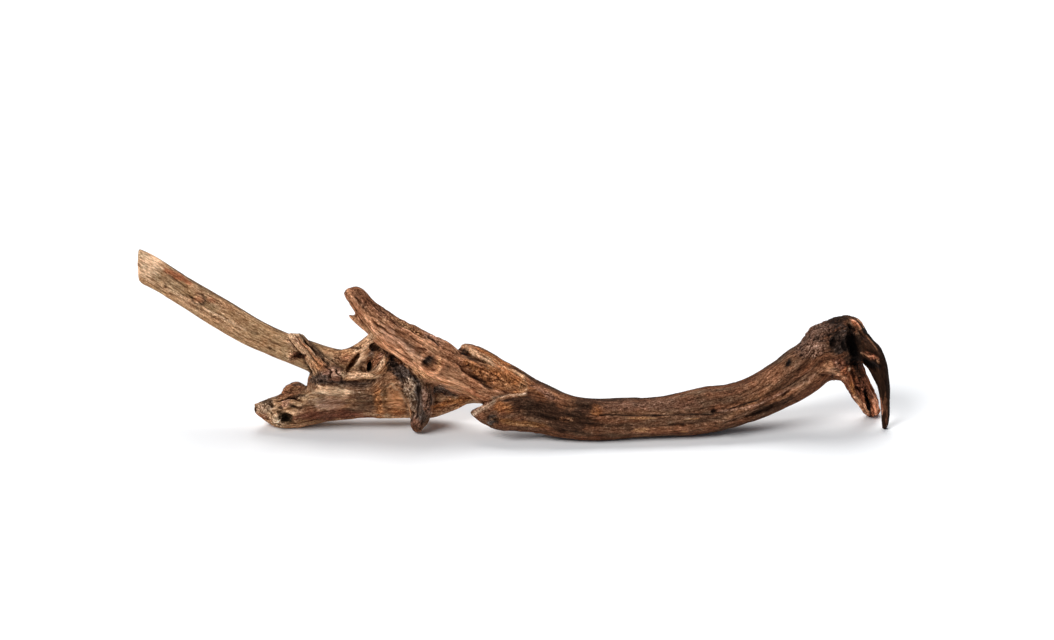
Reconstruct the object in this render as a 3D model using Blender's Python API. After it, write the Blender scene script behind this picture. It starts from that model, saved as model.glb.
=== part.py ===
"""A piece of driftwood, grown in one piece and modelled as one closed solid.

Each limb is a loft through ribs. A rib is written as the wood is seen from the front, square to the plane
that it lies in: its two edges, how far back its middle is, and half its thickness from front to back.
The limbs are fused into one skin, the hollows are cut out of it, and ridges, lips and cracks are raised on it.
That plane leans back by LEAN, which stands the piece on its belly, its log end and its broken stump.
The origin is the middle of the belly's flat resting spot. +X runs to the clawed head, +Y back, +Z up.
"""

import math

import bmesh
import bpy
import numpy as np

# Driving dimensions, in millimetres
LEAN = math.radians(25)
RIB_STEP = 1.5
SIDES = 56
FUSE_VOXEL = 1.5
FINISH_VOXEL = 1.2
TRIANGLES = 11800
FLOOR_CUT = 1.0
MM = 0.001

# Ribs of each limb: top edge x and rise, foot edge x and rise, back, half thickness
LIMBS = {
    "arm": [
        (-346.9, 143.3, -346.6, 119.2, 6, 10),
        (-342, 141.2, -344.2, 116.6, 6, 10.5),
        (-336, 138, -339, 114, 6, 11),
        (-319, 127.5, -326, 106.5, 6, 11.5),
        (-300, 116, -310, 96, 7, 11.5),
        (-277.5, 103, -288, 82, 8, 11.5),
        (-255, 89.5, -265.5, 69.5, 9, 12),
        (-236, 80, -246, 61, 10, 12),
        (-217.5, 73.5, -226, 53, 12, 12.5),
        (-199, 68, -208, 46, 13, 13),
        (-184, 66, -190, 42, 13, 12.5),
        (-172, 65, -176, 43, 12.5, 10.5),
        (-160, 62, -163, 43, 10, 8),
        (-150, 57, -151, 44, 7, 5),
    ],
    "saddle": [
        (-202.5, 67, -202.5, 50, 10, 7),
        (-193.5, 67.5, -193, 50, 8, 7),
        (-186, 70, -184.5, 52, 7, 7),
        (-179, 75, -177, 55, 5, 7),
        (-174, 79.5, -169.5, 59, 3, 7),
        (-168, 82, -162, 66, 0, 6.5),
        (-159, 83.5, -154.5, 70, -5, 5),
    ],
    "stub": [
        (-223, 79, -235, 79, -12, 6),
        (-218, 74, -231, 72, -10, 7),
        (-212, 68, -226.5, 66, -7, 7.5),
        (-206, 62, -222, 59, -4, 8),
        (-200, 57, -218, 52, -1, 9),
        (-194, 51, -214.5, 43, 2, 10),
    ],
    "log": [
        (-260, 26, -259.5, 20, 10, 4),
        (-253.5, 29, -253.5, 15, 12, 9),
        (-246, 31.5, -247, 11, 13, 13),
        (-237, 34.5, -238.5, 8.5, 14, 15),
        (-226.5, 37.5, -228, 8.5, 14, 16),
        (-216, 40, -217.5, 11, 13, 17),
        (-202.5, 44, -204, 14, 12, 17.5),
        (-187.5, 47, -188, 16, 12, 18),
        (-172.5, 47, -172.5, 17, 12, 18),
        (-161, 47, -161, 16.5, 12, 18),
        (-150, 46, -150, 17, 13, 17),
        (-139, 44, -139, 16.5, 14, 16),
        (-126, 42, -126, 16.5, 15, 14),
        (-112.5, 38, -111, 21, 15, 11),
        (-99, 35, -99, 26, 14, 8),
        (-84, 36, -82.5, 26, 9, 7.5),
        (-74, 35, -73.5, 27, 5, 6),
        (-64, 33.5, -64, 28.5, 1, 3.5),
    ],
    "burl": [
        (-241.5, 29, -241, 23, 16, 5),
        (-238, 37, -238, 20, 18, 9),
        (-232.5, 40, -232.5, 18, 19, 11),
        (-227, 41, -227, 18, 19, 11),
        (-222.5, 39, -222.5, 20, 18, 9),
        (-218, 34, -218, 23, 16, 6),
    ],
    "heart": [
        (-219, 48.5, -220.5, 35, 8, 7),
        (-210.5, 54, -212, 29, 8, 13),
        (-198, 55, -196.5, 25.5, 8, 16),
        (-186, 52, -184.5, 25.5, 8, 17),
        (-174, 53, -172.5, 25.5, 8, 17),
        (-163.5, 69, -160.5, 25.5, 7, 16),
        (-153, 69, -148.5, 28, 6, 14),
        (-141, 55, -136.5, 32, 5, 11),
        (-129, 46, -126, 35, 5, 8),
    ],
    "panel": [
        (-181.5, 65, -186, 49, 9, 5),
        (-175.5, 71, -178.5, 49, 9, 6),
        (-169.5, 73.5, -171, 50, 8, 7),
        (-163.5, 74, -163.5, 53, 6, 8),
    ],
    "shelf": [
        (-192, 49, -190.5, 43.5, -8, 3.5),
        (-186, 50, -185, 44, -9, 4),
        (-178.5, 50.5, -178, 45, -9, 4),
        (-172, 51, -170, 45, -9, 4),
        (-166, 55.5, -164, 48, -8, 4),
        (-162, 61.5, -159, 55, -7, 4),
        (-160, 65, -157, 61, -5, 3.5),
    ],
    "fold": [
        (-211.5, 50, -211, 44, -4, 4),
        (-206, 55, -206, 40.5, -6, 6),
        (-199.5, 56, -199.5, 40, -7, 7),
        (-194, 54, -193.5, 40.5, -7, 6),
        (-190, 49.5, -189, 44, -6, 4),
    ],
    "spur": [
        (-153, 55, -135, 58, -2, 12),
        (-148, 43, -127, 44, -3, 11),
        (-143.5, 32, -124, 32, -3, 9.5),
        (-142.5, 23, -124.5, 22.5, -2, 8),
        (-142, 16, -127, 16, 0, 7),
        (-142, 10, -130.5, 10, 2, 5.5),
        (-140, 6, -134, 6, 4, 4),
        (-138, 4.7, -135, 4.7, 5, 2),
    ],
    "beak": [
        (-189, 113, -192.6, 109.8, -12, 3.8),
        (-184.6, 114.3, -191.4, 107, -12, 6),
        (-177, 112, -187, 100.5, -12, 8),
        (-169, 103.5, -182, 93, -12, 9.5),
        (-159, 96, -175.5, 81, -11, 11),
        (-148.5, 89, -165, 69, -10, 12),
        (-136.5, 83, -154.5, 62, -9, 13),
        (-124, 77, -143, 54, -8, 14),
        (-112.5, 72, -132, 43.5, -7, 15),
        (-103.5, 65, -117, 39, -6, 15),
        (-90, 59, -103.5, 35.5, -5, 15),
        (-75, 53, -91.5, 28.5, -4, 14),
        (-61.5, 46, -81, 26, -3, 13),
        (-49, 37, -66, 23, -2, 12),
    ],
    "splinter": [
        (-189.6, 94.4, -189.6, 91.8, -11, 1.7),
        (-183.4, 92.4, -185.2, 88.2, -10.5, 3),
        (-177, 88.5, -179, 83, -10, 4),
        (-172, 83, -173, 78, -10, 5),
    ],
    "flap": [
        (-105.5, 69, -105, 64.5, 2, 4),
        (-102, 71.8, -100, 58, 3, 8),
        (-94.5, 71, -94.5, 50, 3, 11),
        (-84, 66, -86, 44, 3, 13),
        (-72, 58.5, -75, 38, 2, 14),
        (-60, 52, -64, 32, 1, 15),
        (-46.5, 44, -51, 25.5, 0, 15),
        (-33, 38, -37.5, 20, -2, 15),
        (-20, 31.5, -24, 15, -4, 12.5),
    ],
    "trunk": [
        (-97.5, 21.2, -97.2, 18.6, -9, 2.5),
        (-91, 24.2, -90, 13.2, -9, 6),
        (-82.5, 27.8, -82.5, 9, -8, 10),
        (-73.5, 35, -73.5, 6.8, -7, 13),
        (-60, 41, -62, 6.5, -6, 15),
        (-45, 42.4, -49, 5.3, -5, 16),
        (-31.5, 36.8, -34.5, 2.3, -5, 16.5),
        (-18, 32, -19, 0, -4.5, 16.5),
        (0, 30.5, 0, -0.5, -4, 16),
        (22.5, 30.8, 22.5, 1.4, -3, 15.5),
        (45, 31.5, 46, 2.5, -1, 15.5),
        (64, 36.2, 67.5, 3.2, 1, 16),
        (79, 39.8, 84, 5, 3, 16.5),
        (96, 41.3, 102, 9.2, 5, 16.5),
        (112.5, 46.9, 121, 15.5, 7, 16.5),
        (127.5, 55.5, 138, 23, 8, 17),
        (141, 65.6, 152, 29.9, 9, 18),
        (151.5, 73, 164, 37.7, 9, 19),
        (159, 83.3, 172.5, 44.3, 9, 20),
        (169.5, 87.8, 181, 45, 9, 20),
        (181.5, 91.9, 189, 51.8, 8, 19),
        (190.5, 91.5, 195, 60.8, 7, 16),
        (196.5, 87.8, 197, 70.5, 6, 11),
        (199.5, 82.5, 199.5, 76.5, 6, 5),
    ],
    "claw": [
        (198.6, 84, 186, 75.8, 4, 9),
        (204, 76.3, 190.5, 66.8, 4, 9.5),
        (211.3, 68.3, 196.2, 57.8, 4, 9),
        (215.6, 57.6, 201, 53, 5, 8),
        (217.2, 48.8, 204.6, 46.8, 6, 7),
        (218, 41.3, 207.8, 40.5, 7, 6),
        (218.3, 32.3, 210, 31.5, 9, 5.5),
        (218.3, 21.8, 211.1, 21.8, 11, 5),
        (217.9, 12.8, 211.5, 12.8, 12.5, 4.5),
        (216.8, 8.3, 212.3, 7.3, 13, 3.5),
        (215.3, 6.2, 213.3, 5.7, 13.5, 1.5),
    ],
    "stump": [
        (193.5, 65.3, 175.5, 48.8, 10, 12),
        (198.3, 54.3, 181.5, 42, 14, 11),
        (203.4, 43.4, 185.6, 35.6, 18, 9),
        (207.9, 34.8, 191.4, 27.8, 22, 8),
        (211.3, 26.3, 197.4, 20.8, 27, 7.5),
        (212, 18, 201.6, 16.4, 32, 7),
        (210.2, 16.2, 204.6, 15.2, 34, 4),
    ],
}

# How deep the long flutes of each limb are, as a share of its radius
FLUTES = {
    "arm": 0.035, "trunk": 0.045, "beak": 0.055, "log": 0.06, "flap": 0.055, "stub": 0.14,
    "spur": 0.12, "stump": 0.12, "fold": 0.12, "claw": 0.07,
}
OTHER_FLUTES = 0.06

# Hollows: x, rise and back of the middle, half length, half width, half depth, turn in degrees
HOLLOWS = {
    "head_cave": (190.4, 69, -11, 16, 5.4, 16, -74),
    "cave_roof": (187.5, 83, -11, 6, 4, 9, -55),
    "cave_foot": (191.5, 56.5, -6, 6.5, 4.2, 10, -70),
    "head_pocket": (174.2, 73.2, -12, 4.8, 2.6, 7, 75),
    "hood_under": (202, 55.6, -4, 8.5, 2.6, 8, -42),
    "log_socket": (-236, 15.2, -2, 6.6, 4.9, 9, 12),
    "log_nose_hole": (-260, 22, 8, 3.5, 2, 4, 80),
    "heart_slot": (-185, 57.6, -1, 9.5, 2.4, 6, 55),
    "heart_hole": (-173, 54.6, 1, 4.6, 2.2, 8, 80),
    "heart_nook": (-168.8, 67.6, -4, 5, 3, 6, -32),
    "neck_slit": (141.3, 56.9, -11, 3.6, 1.3, 5, 55),
    "scoop": (-82, 46, -21, 27, 7.5, 8.6, -27),
    "belly_recess": (127, 23, -9, 24, 3, 6, 21),
    "stump_fissure": (201.5, 29, 17, 9.5, 1.4, 6, -75),
    "spur_groove": (-136.5, 32, -14, 12, 2, 8, 80),
}

# Swellings and dents on the front: x and rise of the middle, half length, half width, turn in degrees, height out
LUMPS = {
    "eye_bowl": (-127, 57.5, 5.4, 4.8, -20, -2.9),
    "eye_brow": (-131.5, 62.5, 5, 2.6, 40, 1.2),
    "eye_cheek": (-119.5, 54, 4, 5.5, 20, 1.4),
    "twig_stump": (-233, 61.6, 3.2, 3.4, 0, 1.8),
    "twig_hole": (-226, 61.4, 4.2, 2.2, -5, -3.2),
    "log_nose": (-256, 25, 3.8, 3, 20, 1.3),
    "log_dent": (-246.5, 26, 2.6, 2, -30, -2.4),
    "log_knob": (-234.5, 26.6, 4.8, 3, 10, 2.2),
    "log_nick": (-240, 20.6, 3.4, 1.7, -15, -2.2),
    "log_slit": (-228.5, 23.6, 5, 1.6, -10, -2.4),
    "socket_lip": (-243.3, 15.4, 2.2, 4, 10, 1.6),
    "log_dome": (-204, 33, 13, 5, 0, 1.0),
    "heart_lump": (-166, 59.5, 6.5, 4.6, 65, 2.2),
    "heart_dent": (-177.5, 52.5, 3, 2.4, 0, -1.8),
    "spur_knob": (-142.5, 37.5, 3.4, 5, 20, 1.6),
    "spur_bulge": (-130, 36, 3.2, 6, 10, 1.2),
    "spur_toe": (-138, 13, 4, 4, 0, 1.0),
    "root_knot": (-81.6, 13.6, 4.4, 4.2, 0, -1.8),
    "knot_eye": (-81.6, 13.6, 2, 2, 0, 1.4),
    "trunk_knot": (85.3, 21.7, 3.2, 2.6, 0, -2.2),
    "trunk_bump": (72, 33, 14, 5, 8, 1.2),
    "neck_hollow": (152, 55, 8, 2.2, 52, -1.6),
    "brow_lump": (182.9, 79.5, 3.4, 2.8, 0, 1.7),
    "brow_back": (172, 83, 5, 2.6, 20, 1.3),
    "cheek_dent": (179, 70, 7.5, 6, 0, -1.8),
    "cheek_lump": (164.5, 69.5, 5.5, 3.6, 25, 1.4),
    "throat_knob": (177.6, 57.5, 5.4, 4, -20, 2.2),
    "throat_lump": (183, 50.8, 4.4, 3, -30, 1.6),
    "throat_dent": (185.5, 56.5, 3, 2.4, 0, -1.8),
    "stump_pit": (194, 36.8, 3.2, 2, -50, -2.6),
    "stump_cheek": (190.5, 33.5, 3, 4, 35, 1.2),
    "stump_plank": (207.6, 26, 5.6, 2.2, -68, 1.5),
    "hood_flake": (192, 85.4, 5, 2.4, -42, 1.5),
    "hood_band": (201, 70.5, 11, 3, -47, 1.5),
    "fracture_lump": (203.4, 61, 6, 2.4, -32, 1.8),
}

# Ridges and grooves on the front: x and rise of the points passed, width, height out of the wood
RELIEF = {
    "lip": (
        [(90, 14.3), (105, 20), (126, 30.5), (147, 41), (157.6, 50), (168, 52.7), (176.5, 49.5), (184, 45)], 2.4, 2.0),
    "under_lip": ([(120, 25), (138, 34), (152, 43), (162, 48), (172, 47)], 2.0, -1.6),
    "crack": ([(-15, 18.7), (37.5, 18.2), (83, 18.8), (92, 20.8), (103, 25), (118.5, 29.3)], 1.2, -1.1),
    "scoop_rim": (
        [(-101, 64.5), (-90, 60.4), (-77, 55.5), (-64.5, 51), (-57, 45.8), (-54.4, 39), (-57, 33.8),
         (-67.5, 32.3), (-77.3, 30), (-83.3, 26.3), (-90, 23.3)], 2.4, 1.6),
    "ring": ([(-166.5, 42), (-164.3, 33), (-164.3, 23), (-165, 16)], 3.2, 2.2),
    "eye_rim": (
        [(-119.8, 62), (-118.3, 57), (-120.5, 50.8), (-126, 48.8), (-131.5, 50.5), (-134, 56), (-132, 62.5)], 1.7, 1.4),
    "socket_rim": ([(-243.5, 15), (-241, 20), (-235, 21.5), (-229, 19), (-227, 13)], 1.9, 1.5),
    "beak_groove": ([(-184, 106), (-172, 91), (-157.5, 79), (-143, 71), (-130, 67)], 1.8, -1.7),
    "beak_low_groove": ([(-172, 84), (-163, 73), (-152, 65), (-141, 59)], 1.8, -1.5),
    "beak_back_ridge": ([(-172, 98), (-150, 83), (-128, 72), (-112, 66)], 2.2, 1.1),
    "beak_crack": ([(-128, 78), (-124, 74.5), (-121, 70)], 1.3, -1.6),
    "tongue_edge": ([(-139, 50.5), (-129, 47), (-117, 46), (-105, 41), (-92, 33), (-82, 26.5)], 2.0, 1.3),
    "tongue_groove": ([(-102, 53), (-93, 47), (-85, 40.5), (-71, 35.5)], 1.7, -1.3),
    "scoop_groove": ([(-106, 65.5), (-96, 61.5), (-86, 58)], 1.7, -1.4),
    "flap_ridge": ([(-101, 67), (-86, 59), (-70, 50), (-55, 41), (-38, 33.5), (-18, 28)], 2.4, 1.2),
    "stub_left": ([(-232, 75), (-225, 62), (-216, 51)], 1.5, -2.3),
    "stub_middle": ([(-228, 77.5), (-219, 66), (-211, 55)], 1.4, -1.7),
    "stub_right": ([(-224, 77.5), (-214, 67.5), (-203, 57)], 1.6, -2.6),
    "fold_left": ([(-203, 54), (-203.5, 48), (-202, 42)], 1.5, -1.4),
    "fold_right": ([(-196, 54), (-194.5, 49), (-195, 44)], 1.6, -1.6),
    "spur_slit": ([(-136, 41), (-137, 30), (-138, 16)], 1.7, -2.6),
    "spur_shoulder": ([(-147, 53), (-142, 40), (-141, 26)], 1.8, 1.4),
    "log_streak": ([(-223, 36), (-205, 33), (-188, 34), (-172, 32)], 2.2, -1.1),
    "log_keel": ([(-226, 19), (-205, 22), (-188, 24), (-172, 23)], 2.2, 1.0),
    "tail_grain": ([(-126, 27), (-112, 28), (-98, 30), (-88, 32)], 1.5, -1.2),
    "trunk_brow": ([(-70, 27), (-45, 30), (-20, 26), (10, 25.5), (40, 26), (66, 30), (95, 35), (120, 42)], 2.6, 1.0),
    "trunk_furrow": ([(-60, 21), (-30, 14), (0, 10.5), (30, 10), (62, 10.5)], 2.0, -1.1),
    "neck_ridge": ([(128, 50), (145, 62), (158, 72), (168, 80)], 2.4, 1.2),
    "brow_ridge": ([(160, 76), (170, 81), (182, 84), (191, 80)], 2.4, 1.4),
    "burl_gap": ([(-242, 29.3), (-235, 30.6), (-223.6, 29.5)], 1.3, -2.0),
    "claw_ridge": ([(207, 57), (211.5, 47), (213.8, 36), (215, 22)], 1.8, 1.0),
    "arm_grain": ([(-326, 114), (-300, 102), (-270, 86), (-246, 74), (-222, 62)], 1.9, -1.0),
    "arm_ridge": ([(-333, 131), (-310, 117), (-282, 101), (-256, 86), (-238, 76)], 2.2, 0.9),
    "arm_low_grain": ([(-322, 109), (-296, 95), (-268, 79), (-244, 66)], 1.7, -0.9),
}


def place(x, rise, back):
    """World millimetres of points given in the leaning plane: x along, rise up the plane, back behind it."""
    y = rise * math.sin(LEAN) + back * math.cos(LEAN)
    z = rise * math.cos(LEAN) - back * math.sin(LEAN)
    return np.stack([x, y, z], axis=-1)


def seen(points):
    """x, rise and back of world points: place() the other way round."""
    x, y, z = points[..., 0], points[..., 1], points[..., 2]
    return x, y * math.sin(LEAN) + z * math.cos(LEAN), y * math.cos(LEAN) - z * math.sin(LEAN)


def flow(ribs, step):
    """Ribs at every step along the limb, on cubics whose slope at each given rib comes from its neighbours."""
    ribs = np.array(ribs, float)
    middles = (ribs[:, 0:2] + ribs[:, 2:4]) / 2
    lengths = np.linalg.norm(np.diff(middles, axis=0), axis=1)
    knots = np.concatenate([[0.0], np.cumsum(lengths)])
    along = np.linspace(0, knots[-1], max(5, int(knots[-1] / step)))
    slopes = np.gradient(ribs, knots, axis=0)
    i = np.clip(np.searchsorted(knots, along, side="right") - 1, 0, len(knots) - 2)
    span = (knots[i + 1] - knots[i])[:, None]
    k = (along - knots[i])[:, None] / span
    start = (1 + 2 * k) * (1 - k) ** 2 * ribs[i] + k * (1 - k) ** 2 * span * slopes[i]
    end = k**2 * (3 - 2 * k) * ribs[i + 1] + k**2 * (k - 1) * span * slopes[i + 1]
    return start + end, along


def flutes(angle, along, depth, seed):
    """How far the wood swells at each angle and place along a limb: slow waves round it that drift as they run."""
    random = np.random.default_rng(seed)
    swell = np.zeros((len(along), len(angle)))
    for waves in (2, 3, 5, 8):
        phase, drift, pace = random.uniform(0, 2 * math.pi, 3)
        turn = 0.25 * np.sin(along / 31 + drift) + 0.15 * np.sin(along / 13 + pace)
        swell += np.cos(waves * (angle[None, :] + turn[:, None]) + phase) / math.sqrt(waves)
    return depth * swell


def loft(name, ribs, depth, seed):
    """Points and faces of one limb: an oval between the two edges of every rib, closed by a fan at each end."""
    stations, along = flow(ribs, RIB_STEP)
    top, foot = stations[:, 0:2], stations[:, 2:4]
    middle, half = (top + foot) / 2, (top - foot) / 2
    back, deep = stations[:, 4], stations[:, 5]
    angle = np.linspace(0, 2 * math.pi, SIDES, endpoint=False)
    swell = 1 + flutes(angle, along, depth, seed)
    across, through = np.cos(angle) * swell, np.sin(angle) * swell
    x = middle[:, 0:1] + half[:, 0:1] * across
    rise = middle[:, 1:2] + half[:, 1:2] * across
    points = place(x, rise, back[:, None] + deep[:, None] * through).reshape(-1, 3)
    ends = place(middle[[0, -1], 0], middle[[0, -1], 1], back[[0, -1]])
    points = np.concatenate([points, ends])
    count, last = len(along), len(along) * SIDES
    faces = []
    for ring in range(count - 1):
        for side in range(SIDES):
            a, b = ring * SIDES + side, ring * SIDES + (side + 1) % SIDES
            faces.append((a, b, b + SIDES, a + SIDES))
    for side in range(SIDES):
        after = (side + 1) % SIDES
        faces.append((last, after, side))
        faces.append((last + 1, last - SIDES + side, last - SIDES + after))
    return points, faces


def object_from(name, points, faces):
    """An object made of a mesh in millimetres, with its faces turned outwards."""
    mesh = bpy.data.meshes.new(name)
    mesh.from_pydata((points * MM).tolist(), [], faces)
    shell = bmesh.new()
    shell.from_mesh(mesh)
    bmesh.ops.recalc_face_normals(shell, faces=shell.faces)
    shell.to_mesh(mesh)
    shell.free()
    made = bpy.data.objects.new(name, mesh)
    bpy.context.scene.collection.objects.link(made)
    return made


def fused_limbs():
    """All limbs as one object: shells that still overlap, for the voxels to join."""
    points, faces, first = [], [], 0
    for seed, (name, ribs) in enumerate(LIMBS.items()):
        some, quads = loft(name, ribs, FLUTES.get(name, OTHER_FLUTES), seed)
        points.append(some)
        faces += [tuple(first + corner for corner in face) for face in quads]
        first += len(some)
    return object_from("driftwood", np.concatenate(points), faces)


def hollow_cutter(name, x, rise, back, length, width, depth, turn):
    """An ellipsoid that cuts one hollow, its long axis turned in the leaning plane."""
    bpy.ops.mesh.primitive_uv_sphere_add(segments=32, ring_count=20, radius=1)
    cutter = bpy.context.object
    cutter.name = name
    unit = np.array([v.co for v in cutter.data.vertices])
    turn = math.radians(turn)
    along, across = unit[:, 0] * length, unit[:, 1] * width
    points = place(
        x + along * math.cos(turn) - across * math.sin(turn),
        rise + along * math.sin(turn) + across * math.cos(turn),
        back + unit[:, 2] * depth,
    )
    faces = [tuple(face.vertices) for face in cutter.data.polygons]
    bpy.data.objects.remove(cutter)
    return object_from(name, points, faces)


def apply_modifiers(wood):
    """Bakes an object's modifiers into its mesh."""
    graph = bpy.context.evaluated_depsgraph_get()
    mesh = bpy.data.meshes.new_from_object(wood.evaluated_get(graph))
    wood.modifiers.clear()
    wood.data = mesh


def voxel_skin(wood, size, passes):
    """Replaces overlapping shells by one even skin of that voxel size, lightly smoothed."""
    remesh = wood.modifiers.new("Skin", "REMESH")
    remesh.mode = "VOXEL"
    remesh.voxel_size = size * MM
    smooth = wood.modifiers.new("Soften", "SMOOTH")
    smooth.factor = 0.5
    smooth.iterations = passes
    apply_modifiers(wood)


def cut_hollows(wood):
    """Cuts every hollow with one Boolean, then removes the cutters."""
    cutters = bpy.data.collections.new("Hollows")
    for name, sizes in HOLLOWS.items():
        cutter = hollow_cutter(name, *sizes)
        cutters.objects.link(cutter)
        bpy.context.scene.collection.objects.unlink(cutter)
    carve = wood.modifiers.new("Hollows", "BOOLEAN")
    carve.operation = "DIFFERENCE"
    carve.operand_type = "COLLECTION"
    carve.collection = cutters
    carve.solver = "EXACT"
    apply_modifiers(wood)
    for cutter in list(cutters.objects):
        bpy.data.objects.remove(cutter)
    bpy.data.collections.remove(cutters)


def distance_to_line(x, rise, line):
    """How far each point is from a run of straight pieces, in the leaning plane."""
    nearest = np.full(len(x), np.inf)
    for (ax, ay), (bx, by) in zip(line[:-1], line[1:]):
        dx, dy = bx - ax, by - ay
        share = np.clip(((x - ax) * dx + (rise - ay) * dy) / (dx * dx + dy * dy), 0, 1)
        nearest = np.minimum(nearest, np.hypot(x - ax - share * dx, rise - ay - share * dy))
    return nearest


def oval_share(x, rise, centre_x, centre_rise, length, width, turn):
    """1 in the middle of an oval, falling smoothly to 0 outside it."""
    turn = math.radians(turn)
    dx, dy = x - centre_x, rise - centre_rise
    along = (dx * math.cos(turn) + dy * math.sin(turn)) / length
    across = (dy * math.cos(turn) - dx * math.sin(turn)) / width
    return np.exp(-(np.hypot(along, across) ** 3))


def raise_relief(wood):
    """Moves the front's points along their normals, out on ridges and swellings and in on cracks and dents."""
    mesh = wood.data
    points = np.array([v.co for v in mesh.vertices]) / MM
    normals = np.array([v.normal for v in mesh.vertices])
    x, rise, _ = seen(points)
    facing = np.clip(-seen(normals)[2] * 1.5, 0, 1)
    for line, width, height in RELIEF.values():
        bump = height * np.exp(-((distance_to_line(x, rise, line) / width) ** 2))
        points += normals * (bump * facing)[:, None]
    for *oval, height in LUMPS.values():
        points += normals * (height * oval_share(x, rise, *oval) * facing)[:, None]
    mesh.vertices.foreach_set("co", (points * MM).ravel())


def rest_on_floor(wood):
    """Flattens what reaches under the floor, which gives the small spots that the wood stands on."""
    mesh = wood.data
    points = np.array([v.co for v in mesh.vertices])
    points[:, 2] = np.where(points[:, 2] < FLOOR_CUT * MM, 0, points[:, 2] - FLOOR_CUT * MM)
    mesh.vertices.foreach_set("co", points.ravel())


def thin_out(wood):
    """Brings the skin down to the wanted number of triangles, keeping most of them where it curves."""
    triangles = sum(len(face.vertices) - 2 for face in wood.data.polygons)
    decimate = wood.modifiers.new("Thin", "DECIMATE")
    decimate.ratio = TRIANGLES / triangles
    decimate.use_collapse_triangulate = True
    apply_modifiers(wood)


def wood_material():
    material = bpy.data.materials.new("weathered_wood")
    material.use_nodes = True
    shader = material.node_tree.nodes["Principled BSDF"]
    shader.inputs["Base Color"].default_value = (0.20, 0.115, 0.065, 1)
    shader.inputs["Roughness"].default_value = 0.8
    shader.inputs["Metallic"].default_value = 0.0
    return material


def main():
    for old in list(bpy.data.objects):
        bpy.data.objects.remove(old)
    wood = fused_limbs()
    voxel_skin(wood, FUSE_VOXEL, passes=7)
    cut_hollows(wood)
    voxel_skin(wood, FINISH_VOXEL, passes=2)
    raise_relief(wood)
    rest_on_floor(wood)
    thin_out(wood)
    wood.data.materials.append(wood_material())
    wood.data.shade_smooth()


main()
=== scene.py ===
import math

import bpy
import numpy as np
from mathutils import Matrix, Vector


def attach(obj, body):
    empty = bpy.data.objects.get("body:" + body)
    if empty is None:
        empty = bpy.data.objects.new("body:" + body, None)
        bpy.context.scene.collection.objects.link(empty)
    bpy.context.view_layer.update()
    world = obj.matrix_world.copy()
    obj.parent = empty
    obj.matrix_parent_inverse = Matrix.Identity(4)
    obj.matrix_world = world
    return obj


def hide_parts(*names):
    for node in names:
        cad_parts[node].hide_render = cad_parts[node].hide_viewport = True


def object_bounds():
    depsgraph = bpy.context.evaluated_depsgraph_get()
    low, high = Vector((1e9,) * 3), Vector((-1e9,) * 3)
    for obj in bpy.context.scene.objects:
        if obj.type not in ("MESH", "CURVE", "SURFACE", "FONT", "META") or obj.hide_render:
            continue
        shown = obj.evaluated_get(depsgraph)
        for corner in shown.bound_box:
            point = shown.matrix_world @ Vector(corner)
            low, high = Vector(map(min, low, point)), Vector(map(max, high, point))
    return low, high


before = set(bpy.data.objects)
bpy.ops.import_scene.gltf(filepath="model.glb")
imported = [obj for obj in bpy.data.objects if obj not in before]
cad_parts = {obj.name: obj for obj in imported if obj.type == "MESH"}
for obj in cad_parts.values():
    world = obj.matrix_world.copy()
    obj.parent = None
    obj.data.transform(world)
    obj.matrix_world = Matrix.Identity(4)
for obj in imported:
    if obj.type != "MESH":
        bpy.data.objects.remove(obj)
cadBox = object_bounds()

mm = 0.001
lean = math.radians(25)  # the ribs lie in a plane that leans back this far from upright

skin = dict(
    ribStep=1.0,  # mm between the rings of a limb
    sides=72,
    fuseVoxel=1.15,
    fusePasses=6,
    cutterVoxel=0.6,
    finishVoxel=0.88,
    triangles=196000,
    floorCut=1.0,  # mm that lie under the floor and are worn flat
    placeStep=1.5,  # mm between the stations that points are measured from
    placeReach=14,  # mm that a limb's grain reaches past it
    ownership=7,  # how sharply the grain of one limb gives way to the next
)

# The wood of each limb: its two tones, depth of the flutes as a share of its thickness, depths of grooves,
# fine fibres and pits in mm, wave lengths along and across the grain, crumbly (above 0) or smooth (below 0)
limbWood = dict(
    arm=(("khaki", "sand"), 0.035, 0.32, 0.16, 0.05, (46, 2.9), -0.25),
    saddle=(("straw", "tan"), 0.06, 0.5, 0.2, 0.2, (20, 2.6), 0),
    stub=(("cream", "sand"), 0.15, 0.9, 0.25, 0.1, (40, 2.6), 0),
    log=(("sand", "tan"), 0.06, 0.45, 0.2, 0.12, (34, 4.2), -0.15),
    burl=(("chestnut", "chestnut"), 0.1, 0.6, 0.25, 0.3, (16, 3), 0),
    heart=(("umber", "tan"), 0.07, 0.5, 0.22, 0.25, (18, 3.2), 0),
    panel=(("ash", "tan"), 0.06, 0.5, 0.2, 0.2, (16, 2.6), 0),
    shelf=(("straw", "tan"), 0.1, 0.6, 0.2, 0.3, (12, 2.4), 0),
    fold=(("umber", "russet"), 0.12, 0.7, 0.2, 0.3, (14, 2.6), 0),
    spur=(("umber", "slate"), 0.12, 1, 0.3, 0.5, (16, 3.2), 0),
    beak=(("copper", "chestnut"), 0.055, 0.75, 0.25, 0.08, (44, 3.8), -0.15),
    splinter=(("tan", "copper"), 0.1, 0.3, 0.1, 0.05, (20, 2.4), 0),
    flap=(("amber", "chestnut"), 0.055, 0.75, 0.25, 0.08, (40, 3.4), 0),
    trunk=(("cocoa", "umber"), 0.045, 0.5, 0.22, 0.1, (52, 4), 0),
    claw=(("pitch", "pitch"), 0.07, 0.4, 0.2, 0.1, (30, 2.8), -0.5),
    stump=(("rust", "russet"), 0.13, 1, 0.3, 0.7, (20, 2.8), 0),
)

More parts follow.
